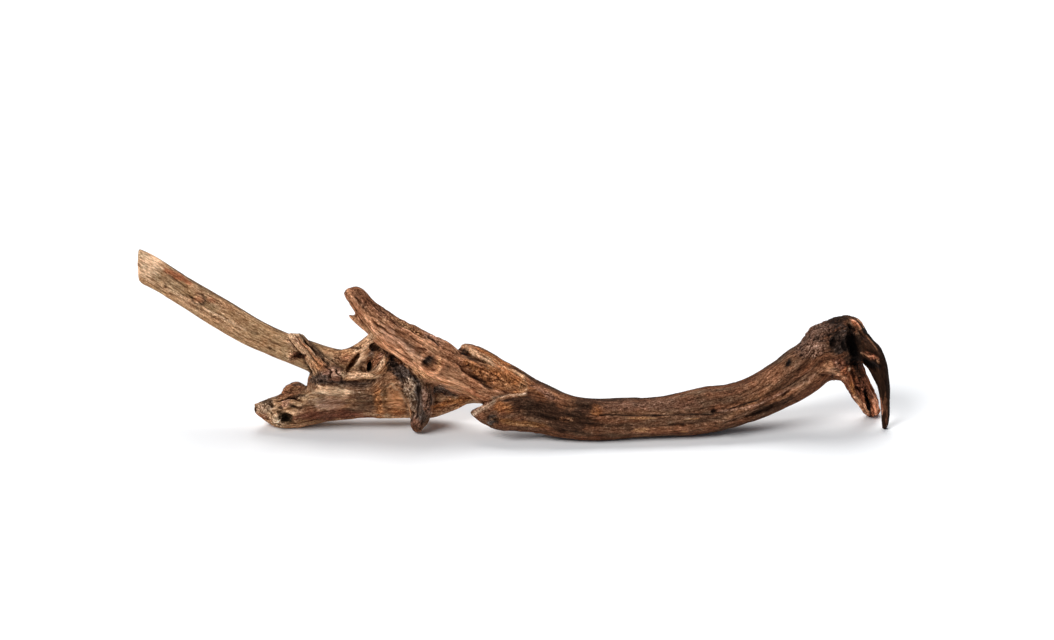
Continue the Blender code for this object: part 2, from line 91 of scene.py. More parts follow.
# A limb's ribs in mm as seen from the front: top edge x and rise, foot edge x and rise, back, half thickness
limbRibs = dict(
    arm=[
        (-346.9, 143.3, -346.6, 119.2, 6, 10), (-342, 141.2, -344.2, 116.6, 6, 10.5),
        (-336, 138, -339, 114, 6, 11), (-319, 127.5, -326, 106.5, 6, 11.5), (-300, 116, -310, 96, 7, 11.5),
        (-277.5, 103, -288, 82, 8, 11.5), (-255, 89.5, -265.5, 69.5, 9, 12), (-236, 80, -246, 61, 10, 12),
        (-217.5, 73.5, -226, 53, 12, 12.5), (-199, 68, -208, 46, 13, 13), (-184, 66, -190, 42, 13, 12.5),
        (-172, 65, -176, 43, 12.5, 10.5), (-160, 62, -163, 43, 10, 8), (-150, 57, -151, 44, 7, 5),
    ],
    saddle=[
        (-202.5, 67, -202.5, 50, 10, 7), (-193.5, 67.5, -193, 50, 8, 7), (-186, 70, -184.5, 52, 7, 7),
        (-179, 75, -177, 55, 5, 7), (-174, 79.5, -169.5, 59, 3, 7), (-168, 82, -162, 66, 0, 6.5),
        (-159, 83.5, -154.5, 70, -5, 5),
    ],
    stub=[
        (-223, 79, -235, 79, -12, 6), (-218, 74, -231, 72, -10, 7), (-212, 68, -226.5, 66, -7, 7.5),
        (-206, 62, -222, 59, -4, 8), (-200, 57, -218, 52, -1, 9), (-194, 51, -214.5, 43, 2, 10),
    ],
    log=[
        (-260.5, 26, -260, 19.5, 10, 4), (-253.5, 29, -253.5, 15, 12, 9), (-246, 31.5, -247, 11, 13, 13),
        (-237, 34.5, -238.5, 8.5, 14, 15), (-226.5, 37.5, -228, 8.5, 14, 16),
        (-216, 40, -217.5, 11, 13, 17), (-202.5, 44, -204, 14, 12, 17.5), (-187.5, 47, -188, 16, 12, 18),
        (-172.5, 47, -172.5, 17, 12, 18), (-161, 47, -161, 16.5, 12, 18), (-150, 46, -150, 17, 13, 17),
        (-139, 44, -139, 16.5, 14, 16), (-126, 42, -126, 16.5, 15, 14), (-112.5, 38, -111, 21, 15, 11),
        (-99, 35, -99, 26, 14, 8), (-84, 36, -82.5, 26, 9, 7.5), (-74, 35, -73.5, 27, 5, 6),
        (-64, 33.5, -64, 28.5, 1, 3.5),
    ],
    burl=[
        (-241.5, 29, -241, 23, 16, 5), (-238, 37, -238, 20, 18, 9), (-232.5, 40, -232.5, 18, 19, 11),
        (-227, 41, -227, 18, 19, 11), (-222.5, 39, -222.5, 20, 18, 9), (-218, 34, -218, 23, 16, 6),
    ],
    heart=[
        (-219, 48.5, -220.5, 35, 8, 7), (-210.5, 54, -212, 29, 8, 13), (-198, 55, -196.5, 25.5, 8, 16),
        (-186, 52, -184.5, 25.5, 8, 17), (-174, 53, -172.5, 25.5, 8, 17), (-163.5, 69, -160.5, 25.5, 7, 16),
        (-153, 69, -148.5, 28, 6, 14), (-141, 55, -136.5, 32, 5, 11), (-129, 46, -126, 35, 5, 8),
    ],
    panel=[
        (-181.5, 65, -186, 49, 9, 5), (-175.5, 71, -178.5, 49, 9, 6), (-169.5, 73.5, -171, 50, 8, 7),
        (-163.5, 74, -163.5, 53, 6, 8),
    ],
    shelf=[
        (-192, 49, -190.5, 43.5, -8, 3.5), (-186, 50, -185, 44, -9, 4), (-178.5, 50.5, -178, 45, -9, 4),
        (-172, 51, -170, 45, -9, 4), (-166, 55.5, -164, 48, -8, 4), (-162, 61.5, -159, 55, -7, 4),
        (-160, 65, -157, 61, -5, 3.5),
    ],
    fold=[
        (-211.5, 50, -211, 44, -4, 4), (-206, 55, -206, 40.5, -6, 6), (-199.5, 56, -199.5, 40, -7, 7),
        (-194, 54, -193.5, 40.5, -7, 6), (-190, 49.5, -189, 44, -6, 4),
    ],
    spur=[
        (-153, 55, -135, 58, -2, 12), (-148, 43, -127, 44, -3, 11), (-143.5, 32, -124, 32, -3, 9.5),
        (-142.5, 23, -124.5, 22.5, -2, 8), (-142, 16, -127, 16, 0, 7), (-142, 10, -130.5, 10, 2, 5.5),
        (-140, 6, -134, 6, 4, 4), (-138, 4.7, -135, 4.7, 5, 2),
    ],
    beak=[
        (-189, 113, -192.6, 109.8, -12, 3.8), (-184.6, 114.3, -191.4, 107, -12, 6),
        (-177, 112, -187, 100.5, -12, 8), (-169, 103.5, -182, 93, -12, 9.5),
        (-159, 96, -175.5, 81, -11, 11), (-148.5, 89, -165, 69, -10, 12), (-136.5, 83, -154.5, 62, -9, 13),
        (-124, 77, -143, 54, -8, 14), (-112.5, 72, -132, 43.5, -7, 15), (-103.5, 65, -117, 39, -6, 15),
        (-90, 59, -103.5, 35.5, -5, 15), (-75, 53, -91.5, 28.5, -4, 14), (-61.5, 46, -81, 26, -3, 13),
        (-49, 37, -66, 23, -2, 12),
    ],
    splinter=[
        (-189, 94, -189.1, 92.4, -11, 1.2), (-182.5, 92.2, -185, 88.2, -10.5, 2.8),
        (-177, 88.5, -179, 83, -10, 4), (-172, 83, -173, 78, -10, 5),
    ],
    flap=[
        (-105.5, 69, -105, 64.5, 2, 4), (-102, 71.8, -100, 58, 3, 8), (-94.5, 71, -94.5, 50, 3, 11),
        (-84, 66, -86, 44, 3, 13), (-72, 58.5, -75, 38, 2, 14), (-60, 52, -64, 32, 1, 15),
        (-46.5, 44, -51, 25.5, 0, 15), (-33, 38, -37.5, 20, -2, 15), (-20, 31.5, -24, 15, -4, 12.5),
    ],
    trunk=[
        (-97.3, 21.2, -97, 18.8, -9, 2), (-91, 24.2, -90, 13.2, -9, 6), (-82.5, 27.8, -82.5, 9, -8, 10),
        (-73.5, 35, -73.5, 6.8, -7, 13), (-60, 41, -62, 6.5, -6, 15), (-45, 42.4, -49, 5.3, -5, 16),
        (-31.5, 36.8, -34.5, 2.3, -5, 16.5), (-18, 32, -19, 0, -4.5, 16.5), (0, 30.5, 0, -0.5, -4, 16),
        (22.5, 30.8, 22.5, 1.4, -3, 15.5), (45, 31.5, 46, 2.5, -1, 15.5), (64, 36.2, 67.5, 3.2, 1, 16),
        (79, 39.8, 84, 5, 3, 16.5), (96, 41.3, 102, 9.2, 5, 16.5), (112.5, 46.9, 121, 15.5, 7, 16.5),
        (127.5, 55.5, 138, 23, 8, 17), (141, 65.6, 152, 29.9, 9, 18), (151.5, 73, 164, 37.7, 9, 19),
        (159, 83.3, 172.5, 44.3, 9, 20), (169.5, 87.8, 181, 45, 9, 20), (181.5, 91.9, 189, 51.8, 8, 19),
        (190.5, 91.5, 195, 60.8, 7, 16), (196.5, 87.8, 197, 70.5, 6, 11), (199.5, 82.5, 199.5, 76.5, 6, 5),
    ],
    claw=[
        (198.6, 84, 186, 75.8, 4, 9), (204, 76.3, 190.5, 66.8, 4, 9.5), (211.3, 68.3, 196.2, 57.8, 4, 9),
        (215.6, 57.6, 201, 53, 5, 8), (217.2, 48.8, 204.6, 46.8, 6, 7), (218, 41.3, 207.8, 40.5, 7, 6),
        (218.3, 32.3, 210, 31.5, 9, 5.5), (218.3, 21.8, 211.1, 21.8, 11, 5),
        (217.9, 12.8, 211.5, 12.8, 12.5, 4.5), (216.8, 8.3, 212.3, 7.3, 13, 3.5),
        (215.3, 6.2, 213.3, 5.7, 13.5, 1.5),
    ],
    stump=[
        (193.5, 65.3, 175.5, 48.8, 10, 12), (198.3, 54.3, 181.5, 42, 14, 11),
        (203.4, 43.4, 185.6, 35.6, 18, 9), (207.9, 34.8, 191.4, 27.8, 22, 8),
        (211.3, 26.3, 197.4, 20.8, 27, 7.5), (212, 18, 201.6, 16.4, 32, 7),
        (210.2, 16.2, 204.6, 15.2, 34, 4),
    ],
)
limbFields = ("tones", "flutes", "grooves", "fine", "pits", "waves", "crumbs")
limbs = {name: dict(zip(limbFields, wood), ribs=limbRibs[name]) for name, wood in limbWood.items()}

# Hollows: x, rise and back of the middle, half length, half width, half depth in mm, turn in degrees
hollows = dict(
    headCave=(189.6, 69, -11, 15.5, 4.5, 14, -75),
    caveRoof=(187.5, 83, -11, 6, 4, 9, -55),
    caveFoot=(191.5, 56.5, -6, 6.5, 4.2, 10, -70),
    headPocket=(174.2, 73.2, -12, 4.6, 2.2, 6, 75),
    hoodUnder=(202, 55.6, -4, 8.5, 2.6, 8, -42),
    logSocket=(-236, 15.2, -2, 6.6, 4.9, 9, 12),
    logNoseHole=(-260, 22, 8, 3.5, 2, 4, 80),
    heartSlot=(-185, 57.6, -1, 9.5, 2, 6, 55),
    heartHole=(-173, 54.6, 1, 4.4, 1.8, 9, 80),
    heartNook=(-168.8, 68, -5, 5.6, 3.2, 4.4, -32),
    neckSlit=(141.3, 56.9, -11, 3.8, 1.4, 7, 55),
    scoop=(-82, 46, -21, 27, 7.5, 8.6, -27),
    bellyRecess=(127, 23, -9, 24, 3, 6, 21),
    stumpFissure=(201.5, 29, 17, 9.5, 1.4, 6, -75),
    cheekPocket=(182.8, 70, -12, 5, 1.8, 4, -76),
)

# Swellings and dents on the front: x and rise of the middle, half length, half width,
# turn, height out of the wood
lumps = dict(
    eyeBowl=(-127, 57.5, 6.2, 5.4, -20, -2.7),
    eyeBrow=(-131.5, 62.5, 5, 2.6, 40, 1.2),
    eyeCheek=(-119.5, 54, 4, 5.5, 20, 1.4),
    twigStump=(-233, 61.6, 3.2, 3.4, 0, 1.8),
    twigHole=(-226, 61.4, 4.2, 2.2, -5, -3.2),
    armKnot=(-301, 104.2, 4.6, 3, -30, 2.5),
    logNose=(-256, 25, 3.8, 3, 20, 1.3),
    logDent=(-246.5, 26, 2.6, 2, -30, -2.4),
    logKnob=(-234.5, 26.6, 4.8, 3, 10, 2.2),
    logNick=(-240, 20.6, 3.4, 1.7, -15, -2.2),
    logSlit=(-228.5, 23.6, 5, 1.4, -10, -1.5),
    socketLip=(-243.3, 15.4, 2.2, 4, 10, 1.6),
    logDome=(-204, 33, 13, 5, 0, 1),
    heartLump=(-166, 59.5, 6.5, 4.6, 65, 2.2),
    heartDent=(-177.5, 52.5, 3, 2.4, 0, -1.8),
    spurKnob=(-142.5, 37.5, 3.4, 5, 20, 1.6),
    spurBulge=(-130, 36, 3.2, 6, 10, 1.2),
    spurToe=(-138, 13, 4, 4, 0, 1),
    rootKnot=(-81.6, 13.6, 4.4, 4.2, 0, -1.8),
    knotEye=(-81.6, 13.6, 2, 2, 0, 1.4),
    trunkKnot=(85.3, 21.7, 2.6, 2.1, 0, -1.5),
    trunkBump=(72, 33, 14, 5, 8, 1.2),
    neckHollow=(152, 55, 8, 2.2, 52, -1.6),
    browLump=(182.9, 79.5, 3.4, 2.8, 0, 1.7),
    browBack=(172, 83, 5, 2.6, 20, 1.3),
    cheekDent=(179, 70, 7.5, 6, 0, -1.6),
    cheekLump=(164.5, 69.5, 5.5, 3.6, 25, 1.4),
    throatKnob=(177.6, 57.5, 5.4, 4, -20, 2.2),
    throatLump=(183, 50.8, 4.4, 3, -30, 1.6),
    throatDent=(185.5, 56.5, 3, 2.4, 0, -1.8),
    stumpPit=(194, 36.8, 3.2, 2, -50, -2.6),
    stumpCheek=(190.5, 33.5, 3, 4, 35, 1.2),
    stumpPlank=(207.6, 26, 5.6, 2.2, -68, 1.5),
    hoodFlake=(192, 85.4, 5, 2.4, -42, 1.5),
    hoodBand=(201, 70.5, 11, 3, -47, 1.5),
    fractureLump=(203.4, 61, 6, 2.4, -32, 1.8),
    hoodCrease=(197.5, 78.5, 8, 1.4, -55, -1.4),
)

# Ridges and cracks on the front: width, height out of the wood, the points passed
relief = dict(
    lip=(2.2, 2.4, (90, 14.3), (105, 20), (126, 30.5), (147, 41), (157.6, 50), (168, 52.7), (176.5, 49.5),
        (184, 45)),
    underLip=(1.8, -1.6, (120, 25), (138, 34), (152, 43), (162, 48), (172, 47)),
    crack=(0.6, -0.8, (0, 18.5), (37.5, 18.2), (83, 18.8), (92, 20.8), (103, 25), (118.5, 29.3)),
    scoopRim=(1.2, 1.5, (-101, 64.5), (-90, 60.4), (-77, 55.5), (-64.5, 51), (-57, 45.8), (-54.4, 39),
        (-57, 33.8), (-67.5, 32.3), (-77.3, 30), (-83.3, 26.3), (-90, 23.3)),
    ring=(2.8, 1.2, (-166.5, 42), (-164.8, 33), (-164.3, 23), (-165, 16)),
    eyeRim=(1.4, 1.4, (-119.8, 62), (-118.3, 57), (-120.5, 50.8), (-126, 48.8), (-131.5, 50.5), (-134, 56),
        (-132, 62.5)),
    socketRim=(1.6, 1.5, (-243.5, 15), (-241, 20), (-235, 21.5), (-229, 19), (-227, 13)),
    beakGroove=(1.1, -1.4, (-184, 106), (-172, 91), (-157.5, 79), (-143, 71), (-130, 67)),
    beakLowGroove=(1.3, -0.7, (-172, 84), (-163, 73), (-152, 65), (-141, 59)),
    beakBackRidge=(1.9, 1.1, (-172, 98), (-150, 83), (-128, 72), (-112, 66)),
    beakCrack=(1, -1.8, (-128, 78), (-124, 74.5), (-121, 70)),
    tongueEdge=(1.7, 1.3, (-139, 50.5), (-129, 47), (-117, 46), (-105, 41), (-92, 33), (-82, 26.5)),
    tongueGroove=(1.3, -1.2, (-102, 53), (-93, 47), (-85, 40.5), (-71, 35.5)),
    scoopGroove=(1.2, -1.2, (-106, 65.5), (-96, 61.5), (-86, 58)),
    flapRidge=(2.2, 1.2, (-101, 67), (-86, 59), (-70, 50), (-55, 41), (-38, 33.5), (-18, 28)),
    stubLeft=(1.2, -2.6, (-232, 75), (-225, 62), (-216, 51)),
    stubMiddle=(1.1, -2, (-228, 77.5), (-219, 66), (-211, 55)),
    stubRight=(1.3, -3, (-224, 77.5), (-214, 67.5), (-203, 57)),
    foldLeft=(1, -1.4, (-204.5, 55), (-201.5, 51), (-203, 46.5), (-200, 42.5)),
    foldRight=(1, -1.6, (-197.5, 55.5), (-196.2, 50.5), (-192.6, 47.5), (-193, 43)),
    spurSlit=(1.4, -3.2, (-136, 41), (-137, 30), (-138, 16)),
    spurShoulder=(1.6, 1.4, (-147, 53), (-142, 40), (-141, 26)),
    logStreak=(1.8, -1.1, (-223, 36), (-205, 33), (-188, 34), (-172, 32)),
    logKeel=(2, 1, (-226, 19), (-205, 22), (-188, 24), (-172, 23)),
    tailGrain=(1.2, -1.3, (-126, 27), (-112, 28), (-98, 30), (-88, 32)),
    trunkBrow=(2.4, 1, (-70, 27), (-45, 30), (-20, 26), (10, 25.5), (40, 26), (66, 30), (95, 35), (120, 42)),
    trunkFurrow=(1.6, -1.1, (-60, 21), (-30, 14), (0, 10.5), (30, 10), (62, 10.5)),
    neckRidge=(2.2, 1.2, (128, 50), (145, 62), (158, 72), (168, 80)),
    browRidge=(2.2, 1.4, (160, 76), (170, 81), (182, 84), (191, 80)),
    burlGap=(1.1, -2.2, (-242, 29.3), (-235, 30.6), (-223.6, 29.5)),
    clawRidge=(1.6, 1, (207, 57), (211.5, 47), (213.8, 36), (215, 22)),
    armGrain=(1.3, -0.8, (-326, 114), (-300, 102), (-270, 86), (-246, 74), (-222, 62)),
    armRidge=(2, 0.9, (-333, 131), (-310, 117), (-282, 101), (-256, 86), (-238, 76)),
    armLowGrain=(1.2, -0.8, (-322, 109), (-296, 95), (-268, 79), (-244, 66)),
)

# Colours of the wood, linear light
woodTones = dict(
    ivory=(0.64, 0.46, 0.30),
    cream=(0.54, 0.37, 0.23),
    sand=(0.42, 0.27, 0.155),
    khaki=(0.33, 0.21, 0.11),
    straw=(0.45, 0.255, 0.125),
    tan=(0.30, 0.155, 0.08),
    blush=(0.40, 0.235, 0.16),
    copper=(0.46, 0.243, 0.134),
    flame=(0.48, 0.20, 0.095),
    amber=(0.34, 0.135, 0.045),
    chestnut=(0.275, 0.130, 0.068),
    bronze=(0.16, 0.075, 0.028),
    rust=(0.27, 0.095, 0.042),
    russet=(0.15, 0.060, 0.034),
    plum=(0.185, 0.095, 0.062),
    umber=(0.12, 0.068, 0.040),
    cocoa=(0.13, 0.057, 0.029),
    bark=(0.042, 0.021, 0.012),
    ash=(0.33, 0.235, 0.16),
    slate=(0.090, 0.068, 0.055),
    char=(0.036, 0.026, 0.021),
    pitch=(0.016, 0.007, 0.0032),
    soot=(0.008, 0.0055, 0.0045),
    bone=(0.42, 0.32, 0.225),
    apricot=(0.56, 0.30, 0.17),
    rose=(0.52, 0.31, 0.205),
    olive=(0.030, 0.021, 0.010),
    peach=(0.76, 0.36, 0.21),
    ember=(0.50, 0.19, 0.105),
    dusty=(0.25, 0.15, 0.105),
    dusk=(0.115, 0.070, 0.050),
    honey=(0.44, 0.215, 0.10),
)

# Stains on the front, with painted shade among them in hollows and recesses, under lips and beside ridges: x
# and rise of the middle, half length, half width, turn, tone, how strong, how crumbly
stainsAndPaintedShade = dict(
    armMidPale=(-322, 119, 12, 5, -31, "sand", 0.6, -0.3),
    armUpperWarm=(-284, 101, 22, 3.2, -31, "tan", 0.45, 0),
    armRedStreak=(-318.5, 122.8, 14, 2.6, -29, "rust", 0.85, -0.3),
    armKnot=(-300.8, 104.4, 5.4, 3.6, -22, "chestnut", 0.95, -0.3),
    armBrownFleck=(-291, 104, 3, 1.6, -27, "rust", 0.6, 0),
    armGreenish=(-256, 77, 32, 8, -30, "khaki", 0.7, -0.3),
    armLight=(-300, 99, 34, 3, -31, "sand", 0.6, 0),
    armScarRim=(-229, 62, 7.5, 4.2, -8, "sand", 0.7, 0.3),
    armScar=(-226.2, 62, 6.2, 3.2, -8, "russet", 1, 0.6),
    armRoot=(-216, 57, 12, 4, -25, "tan", 0.6, 0),
    stubTip=(-228, 74, 8.5, 5, -50, "cream", 0.85, 0.2),
    stubShade=(-211.5, 67, 12, 1.4, -50, "bark", 0.65, 0),
    stubWarm=(-212, 57, 9, 5, -45, "honey", 0.6, 0),
    saddleLight=(-176, 72, 11, 4, 40, "cream", 0.85, 0.1),
    saddleBrown=(-193.5, 60.5, 8, 5, -5, "chestnut", 0.6, 0.25),
    saddleEdge=(-190, 69.2, 15, 1.3, -5, "bark", 0.8, 0),
    heartFace=(-178.6, 59.6, 8.8, 4.8, 64, "ivory", 0.85, -0.6),
    heartFaceFoot=(-180, 53.5, 7, 3.4, 10, "cream", 0.8, 0.1),
    heartCave=(-169, 68, 5, 3, -25, "bark", 0.75, 0.2),
    heartKnob=(-166.5, 59, 7, 4, 60, "chestnut", 0.9, 0.4),
    heartKnobTop=(-163.5, 62.5, 3.4, 2, 60, "blush", 0.7, 0.3),
    pinkFolds=(-201, 50, 8.5, 5, 0, "plum", 0.9, 0.1),
    foldLight=(-192, 48.5, 2.6, 4, 20, "sand", 0.7, 0.3),
    neckShade=(-210.2, 44.5, 7.5, 6, -10, "slate", 0.9, 0.3),
    shelfLight=(-178, 48, 13.5, 3.2, 0, "cream", 0.85, 0.1),
    logNose=(-252.5, 23.5, 9, 5, 20, "ash", 0.7, 0.35),
    logNoseTip=(-259.2, 22, 2.2, 3.4, 0, "bark", 0.9, 0.3),
    logNoseLow=(-252, 17, 4, 2.4, -30, "russet", 0.7, 0.3),
    socketRim=(-241, 16, 9, 6, 10, "sand", 0.85, 0.6),
    socketHole=(-235.8, 15.2, 6.6, 5, 10, "olive", 1, 0),
    logHump=(-231, 35, 11, 5.4, 15, "chestnut", 0.9, 0.4),
    logHumpDark=(-226.5, 40.5, 4.5, 1.6, 0, "slate", 0.75, 0.2),
    logCrevice=(-228, 32, 9, 1.5, 5, "bark", 0.9, 0.4),
    logCrumbs=(-236, 26.5, 5, 3, 10, "blush", 0.8, 0.7),
    logPale=(-200, 35.8, 18, 4.6, -3, "ivory", 1, -0.6),
    logPaleLow=(-203, 27, 14, 5, -8, "dusty", 0.85, -0.5),
    logFlank=(-219, 22, 9, 6, 15, "cocoa", 0.8, 0.1),
    logRust=(-212, 13.6, 22, 2.2, 5, "bronze", 0.75, 0),
    logGrey=(-181, 40.5, 11, 3.2, 0, "slate", 0.45, 0),
    logGreyLow=(-176, 24, 8, 5, 0, "umber", 0.7, 0.1),
    ringRust=(-166.3, 27, 13, 4.2, 88, "amber", 0.75, 0.3),
    ringFoot=(-164, 19, 3, 3.5, 90, "amber", 0.6, 0.1),
    scoopedTan=(-152.5, 28.5, 14.5, 7.8, -60, "honey", 0.95, -0.8),
    scoopedTanLow=(-150, 20, 12, 3, 0, "amber", 0.6, 0),
    trench=(-149, 52, 19, 6.5, -50, "char", 0.9, 0.7),
    trenchGrey=(-146, 47.5, 9, 5, -50, "slate", 0.75, 0.5),
    spurPale=(-143, 38.5, 8.5, 5, -70, "ash", 0.95, 0.6),
    spurPaleLow=(-140.5, 25, 9, 2.6, -85, "ash", 0.6, 0.4),
    spurRight=(-130, 28, 12, 4, -80, "dusty", 0.6, 0.5),
    spurTip=(-137.6, 10, 6.5, 5, 90, "cocoa", 0.7, 0.2),
    # painted shade in the recess right of the spur
    recessPaintedShade=(-115.3, 36, 13, 4.5, -8, "slate", 0.95, 0.3),
    tailTan=(-111, 27, 20, 4, 14, "amber", 0.9, 0),
    tailTanLow=(-117, 22.5, 12, 2, 14, "tan", 0.6, 0),
    beakTip=(-190.5, 110, 2, 3, 0, "bark", 0.8, 0.1),
    beakBack=(-158, 92.5, 27, 4.2, -34, "russet", 0.7, 0.3),
    beakBackWarm=(-142, 84, 20, 3.4, -33, "straw", 0.7, 0.5),
    beakPink=(-152, 73, 20, 6, -38, "rose", 0.9, -0.5),
    beakOrange=(-146.3, 62, 23, 5.8, -38, "apricot", 0.95, -0.6),
    beakFront=(-184, 101, 11, 4, -58, "chestnut", 0.9, -0.4),
    eyeBowl=(-127.2, 57.6, 6, 5.2, 0, "umber", 0.9, 0),
    eyeRimLight=(-120.5, 56, 6.5, 1.6, 80, "straw", 0.75, 0.1),
    eyeFoot=(-133, 49, 8, 3.6, -20, "straw", 0.6, 0.1),
    tongue=(-110, 41, 24, 5.4, -31, "copper", 0.85, -0.5),
    beakBrown=(-108, 59, 15, 4.4, -28, "chestnut", 0.7, 0.1),
    crestLight=(-90, 62.6, 17, 3.6, -29, "cream", 0.75, 0.1),
    crestEdge=(-70, 59.5, 36, 2, -28, "umber", 0.8, 0.1),
    troughGlow=(-80, 46.5, 26, 6.2, -27, "amber", 0.8, 0.4),
    troughShade=(-93, 58.6, 12, 1.1, -32, "bark", 0.8, 0),
    troughEnd=(-58.8, 41, 8, 3, 80, "straw", 0.7, 0.4),
    lipLight=(-72, 31.6, 16, 0.8, 10, "tan", 0.7, 0.1),
    lipShade=(-62, 30, 12, 1.4, 6, "soot", 0.8, 0),
    rootLight=(-74, 24, 8, 4, -10, "amber", 0.6, 0.1),
    rootKnot=(-81, 14, 4.6, 3.8, 40, "slate", 1, 0.3),
    rootWarm=(-60, 12, 22, 2.4, -8, "bronze", 0.9, 0),
    trunkTop=(-42, 35, 12, 3, -32, "plum", 0.8, 0.3),
    stainOne=(-43, 21, 24, 9, -18, "bark", 0.96, 0.1),
    stainTwo=(-22, 13, 20, 9, -5, "bark", 0.95, 0),
    stainThree=(-8, 26, 14, 7, 0, "bark", 0.88, 0),
    rustSpot=(-2, 21.5, 5, 5, 0, "amber", 0.6, 0.1),
    plumTop=(34, 25, 42, 5, 3, "plum", 0.6, 0.1),
    plumMid=(30, 20, 30, 3, 0, "tan", 0.3, 0),
    chipOne=(30, 16, 10, 1.1, 0, "straw", 0.9, 0.1),
    chipTwo=(30.5, 6.8, 6, 1.5, 0, "straw", 0.9, 0.1),
    chipThree=(62.3, 5.6, 3, 0.9, 5, "straw", 0.8, 0),
    chipFour=(69.5, 15.2, 5, 0.7, 5, "straw", 0.8, 0),
    knotRing=(85, 21.5, 2.6, 2, 0, "bark", 0.8, 0.2),
    trunkBelly=(60, 8, 45, 3, 6, "chestnut", 0.4, 0),
    neckWarm=(125, 45, 26, 6, 35, "chestnut", 0.55, 0.05),
    neckLow=(112, 27, 22, 2.2, 30, "tan", 0.5, 0),
    lipGlow=(140, 33.5, 22, 2, 33, "tan", 0.6, -0.2),
    lipGlowEnd=(180, 48.5, 5, 1.6, -35, "rust", 0.8, 0.2),
    recessShade=(128, 23.5, 22, 3, 25, "bark", 0.9, 0),
    knob=(168, 83, 20, 7, 22, "dusk", 0.85, 0.7),
    knobLow=(158, 70, 13, 9, 25, "dusk", 0.8, 0.7),
    knobPatch=(160, 67, 8, 6, 25, "blush", 0.45, 0.9),
    # painted shade in and round the hollow of the head
    headCaveShadeRim=(186.5, 68.5, 19, 10.5, -74, "pitch", 0.6, 0.2),
    headCaveShade=(189.9, 69.2, 16.5, 5.8, -73, "soot", 1, 0),
    headHole=(174, 73.2, 4.6, 2.6, 75, "soot", 1, 0.1),
    pitZone=(181, 56.5, 8, 5, -20, "russet", 0.95, 0.9),
    emberSpot=(170.8, 55.2, 3.8, 2.8, 10, "copper", 0.9, -0.4),
    emberTwo=(182, 51.5, 5, 2.6, 40, "rust", 0.8, 0.6),
    freshTop=(191.5, 86, 6.2, 1.4, -42, "rust", 0.85, 0),
    hoodSkin=(203.5, 70, 10, 3.6, -50, "bark", 0.9, -0.3),
    hoodBreak=(203.4, 62.2, 7, 1.5, -16, "ember", 0.75, 0.9),
    # painted shade in the hollow under the hood
    hoodUnder=(202, 57.3, 9.5, 2.6, -20, "soot", 1, 0),
    clawWarm=(215.2, 22, 14, 1.4, -87, "cocoa", 0.55, 0),
    stumpDark=(196.5, 38, 8, 5, -50, "russet", 0.85, 0.8),
    stumpRight=(207.8, 25, 9.5, 3.4, -80, "peach", 0.9, -0.3),
    stumpLeft=(195.3, 26.4, 8, 2.2, -60, "copper", 0.9, 0.2),
    stumpFissure=(202.4, 26.5, 10, 1.1, -72, "soot", 1, 0),
    shelfRise=(-164.8, 54.3, 6, 1.5, 55, "cream", 0.8, 0.1),
    logNoseEdge=(-251, 28.3, 7, 1.4, 8, "bark", 0.7, 0.4),
    logHumpLight=(-229.5, 37.4, 3, 1.2, -15, "straw", 0.7, 0.2),
    logNick=(-240, 23.6, 3, 1.8, -20, "pitch", 0.95, 0.2),
    logSlit=(-229.8, 24.6, 2.6, 1.1, -15, "pitch", 0.9, 0.2),
    logRustLow=(-196, 16.6, 14, 1.3, 3, "tan", 0.7, 0),
    logGreyMid=(-179, 33, 9, 4, -5, "umber", 0.6, 0.1),
    scoopedShade=(-161, 31, 10, 2, -88, "bronze", 0.75, 0),
    beakBackEnd=(-126, 76, 10, 4, -30, "blush", 0.5, 0.3),
    eyeDark=(-128.6, 59.8, 4.6, 2.6, 30, "slate", 0.9, 0),
    eyeFleck=(-126.4, 56, 1.6, 1.4, 30, "slate", 0.8, 0),
    tongueShade=(-94, 34, 9, 3, -45, "rust", 0.75, -0.3),
    crestFar=(-66, 51.5, 14, 1.1, -27, "sand", 0.55, 0.2),
    crestNotch=(-102, 66.2, 4, 1.8, -40, "pitch", 0.95, 0.1),
    troughLow=(-87, 42.5, 12, 2, -40, "bark", 0.7, 0),
    lipLightLeft=(-88.5, 24.2, 8.5, 1.4, 32, "blush", 0.7, 0.1),
    rootGold=(-58, 10.5, 14, 0.9, -8, "straw", 0.5, 0),
    headGrey=(179, 74.5, 8.6, 12.5, 8, "char", 0.88, 0.4),
    throatDark=(186, 59, 5, 3, -60, "bark", 0.9, 0.5),
    emberThree=(186.5, 52.4, 1.2, 1.8, 0, "ivory", 0.8, 0.2),
    hoodBack=(210.5, 69, 16, 2.6, -58, "pitch", 0.95, 0),
    hoodSpike=(208, 59, 3, 1.2, -70, "copper", 0.8, 0.5),
    stumpTop=(194, 49, 6, 4, -50, "bark", 0.7, 0.5),
    stumpCheek=(189.6, 39, 6, 2, -70, "amber", 0.7, 0.2),
    stumpPink=(201.2, 21.6, 6, 1.8, -70, "apricot", 0.95, 0),
    stumpEdge=(211.5, 25.5, 7, 0.9, -70, "russet", 0.9, 0),
    logLowBrown=(-200, 18, 32, 4.6, 3, "russet", 1, 0),
    foldPink=(-199, 50, 1.7, 4.2, 14, "rose", 0.75, 0),
    beakTipShade=(-177, 105, 14, 5.4, -42, "cocoa", 0.95, 0.15),
    headTop=(178, 89.5, 12, 3.8, 5, "pitch", 0.95, 0.3),
    headHoleTwo=(182.8, 70, 5.6, 2.2, -75, "soot", 0.8, 0.1),
    freshEdge=(199.4, 81.5, 6, 1.5, -62, "soot", 0.95, 0),
    hoodBreakDark=(200.8, 63.2, 2.6, 0.8, 20, "bark", 0.9, 0),
    armEndPale=(-337, 131, 15, 10, 70, "ivory", 1, -0.4),
    ringShade=(-171.6, 28, 10, 1.5, 88, "umber", 0.5, 0),
    heartHole=(-173, 54.6, 4.4, 2, 80, "pitch", 0.95, 0),
    socketCrumbs=(-242.8, 13.4, 6, 3.6, -50, "ivory", 0.85, 0.8),
    goldFlecks=(-26, 15, 9, 2, 0, "tan", 0.4, 0.4),
    armKnotEye=(-299.8, 104.6, 2.2, 1.3, -22, "tan", 0.9, -0.3),
